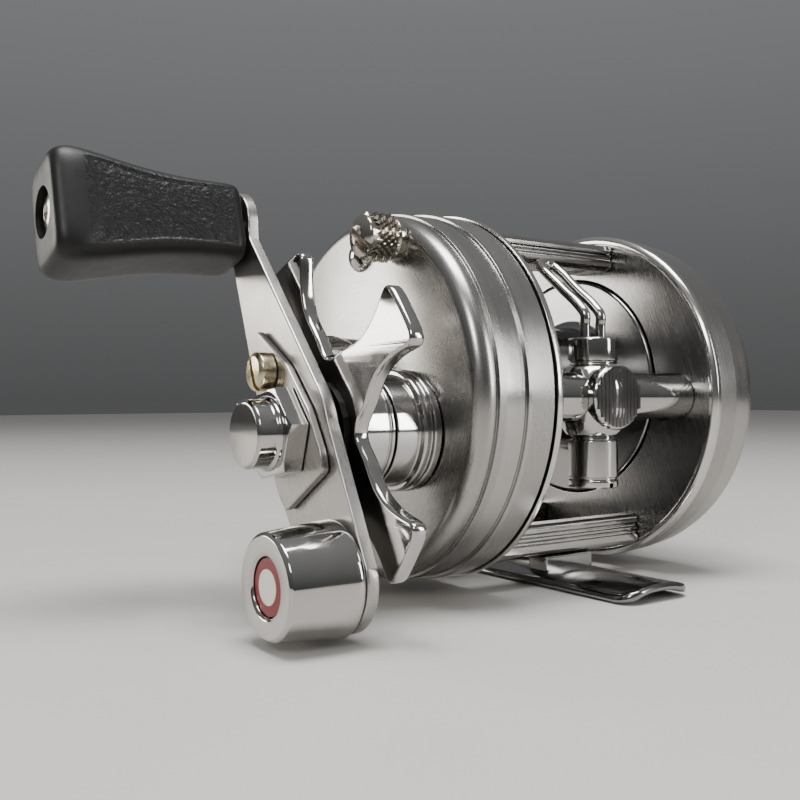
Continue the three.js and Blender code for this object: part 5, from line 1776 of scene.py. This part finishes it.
# ---------------------------------------------------------------- add-on
class ReelSettings(bpy.types.PropertyGroup):
    """Sizes and colours that can be changed before the pieces are built."""

    star_radius: bpy.props.FloatProperty(
        name="Star radius", description="From the crank axis to a tip of the star", default=22 * MM,
        min=15 * MM, max=22.5 * MM, unit="LENGTH",
    )
    star_angle: bpy.props.FloatProperty(
        name="Star angle",
        description="First arm of the star, from the front upwards, in degrees",
        default=109.0,
    )
    lens: bpy.props.FloatProperty(name="Lens", description="Focal length in millimetres", default=42.72)
    camera_place: bpy.props.FloatVectorProperty(
        name="Camera place", description="Where the camera stands", size=3, subtype="XYZ", unit="LENGTH",
        default=(-0.09569, -0.10601, 0.02447),
    )
    cover_colour: bpy.props.FloatVectorProperty(
        name="Cover colour", description="Aluminium of the side covers", size=3, subtype="COLOR",
        default=(0.42, 0.408, 0.392), min=0, max=1,
    )
    chrome_colour: bpy.props.FloatVectorProperty(
        name="Chrome colour", description="Bright plated pieces", size=3, subtype="COLOR",
        default=(0.5, 0.488, 0.47), min=0, max=1,
    )
    knob_colour: bpy.props.FloatVectorProperty(
        name="Knob colour", description="Moulded knob", size=3, subtype="COLOR",
        default=(0.006, 0.006, 0.0062), min=0, max=1,
    )
    badge_colour: bpy.props.FloatVectorProperty(
        name="Badge colour", description="Enamel of the badge", size=3, subtype="COLOR",
        default=(0.21, 0.004, 0.006), min=0, max=1,
    )
    floor_colour: bpy.props.FloatVectorProperty(
        name="Floor colour", description="Plain floor under the reel", size=3, subtype="COLOR",
        default=(0.5, 0.485, 0.46), min=0, max=1,
    )


class REEL_OT_covers(bpy.types.Operator):
    """Build the two side covers"""

    bl_idname = "reel.covers"
    bl_label = "Side covers"

    def execute(self, context):
        build_covers()
        return {"FINISHED"}


class REEL_OT_frame(bpy.types.Operator):
    """Build the side plates and the bars between them"""

    bl_idname = "reel.frame"
    bl_label = "Side plates and bars"

    def execute(self, context):
        build_side_plates()
        build_frame_bars()
        return {"FINISHED"}


class REEL_OT_foot(bpy.types.Operator):
    """Build the foot and its rivets"""

    bl_idname = "reel.foot"
    bl_label = "Foot"

    def execute(self, context):
        build_foot()
        return {"FINISHED"}


class REEL_OT_screws(bpy.types.Operator):
    """Build the thumbscrews, small screws and caps"""

    bl_idname = "reel.screws"
    bl_label = "Screws and caps"

    def execute(self, context):
        build_thumbscrews()
        build_small_screws()
        build_caps()
        return {"FINISHED"}


class REEL_OT_star(bpy.types.Operator):
    """Build the crank boss and the star wheel"""

    bl_idname = "reel.star"
    bl_label = "Boss and star"

    def execute(self, context):
        build_boss()
        build_star()
        return {"FINISHED"}


class REEL_OT_handle(bpy.types.Operator):
    """Build the handle arm, lock plate, nut and counterweight"""

    bl_idname = "reel.handle"
    bl_label = "Handle"

    def execute(self, context):
        build_arm()
        build_lock_plate()
        build_nut()
        build_counterweight()
        return {"FINISHED"}


class REEL_OT_knob(bpy.types.Operator):
    """Build the knob and its spindle"""

    bl_idname = "reel.knob"
    bl_label = "Knob"

    def execute(self, context):
        build_knob()
        build_spindle()
        return {"FINISHED"}


class REEL_OT_level_wind(bpy.types.Operator):
    """Build the level wind's tube, carriage and wire"""

    bl_idname = "reel.level_wind"
    bl_label = "Level wind"

    def execute(self, context):
        build_tube()
        build_carriage()
        build_wire()
        return {"FINISHED"}


class REEL_OT_spool(bpy.types.Operator):
    """Build the spool and the free-spool button"""

    bl_idname = "reel.spool"
    bl_label = "Spool and button"

    def execute(self, context):
        build_spool()
        build_button()
        return {"FINISHED"}


class REEL_OT_inner_works(bpy.types.Operator):
    """Give the hidden pieces their finishes"""

    bl_idname = "reel.inner_works"
    bl_label = "Inner works"

    def execute(self, context):
        build_inner_works()
        return {"FINISHED"}


class REEL_OT_stage(bpy.types.Operator):
    """Set up the floor, lights and camera"""

    bl_idname = "reel.stage"
    bl_label = "Stage"

    def execute(self, context):
        build_stage()
        return {"FINISHED"}


OPERATORS = (
    REEL_OT_covers,
    REEL_OT_frame,
    REEL_OT_foot,
    REEL_OT_screws,
    REEL_OT_star,
    REEL_OT_handle,
    REEL_OT_knob,
    REEL_OT_level_wind,
    REEL_OT_spool,
    REEL_OT_inner_works,
    REEL_OT_stage,
)


class REEL_PT_panel(bpy.types.Panel):
    """Sizes, colours and one button for each group of pieces"""

    bl_idname = "REEL_PT_panel"
    bl_label = "Baitcasting reel"
    bl_space_type = "VIEW_3D"
    bl_region_type = "UI"
    bl_category = "Reel"

    def draw(self, context):
        settings = context.scene.reel_settings
        for name in ReelSettings.__annotations__:
            self.layout.prop(settings, name)
        for operator in OPERATORS:
            self.layout.operator(operator.bl_idname)


CLASSES = (ReelSettings, *OPERATORS, REEL_PT_panel)


def register():
    """Adds the classes and the settings."""
    for cls in CLASSES:
        bpy.utils.register_class(cls)
    bpy.types.Scene.reel_settings = bpy.props.PointerProperty(type=ReelSettings)


def unregister():
    """Takes the classes and the settings away again."""
    del bpy.types.Scene.reel_settings
    for cls in reversed(CLASSES):
        bpy.utils.unregister_class(cls)


def main():
    """Builds everything in order."""
    register()
    for operator in OPERATORS:
        group, name = operator.bl_idname.split(".")
        getattr(getattr(bpy.ops, group), name)()


if __name__ == "__main__":
    main()
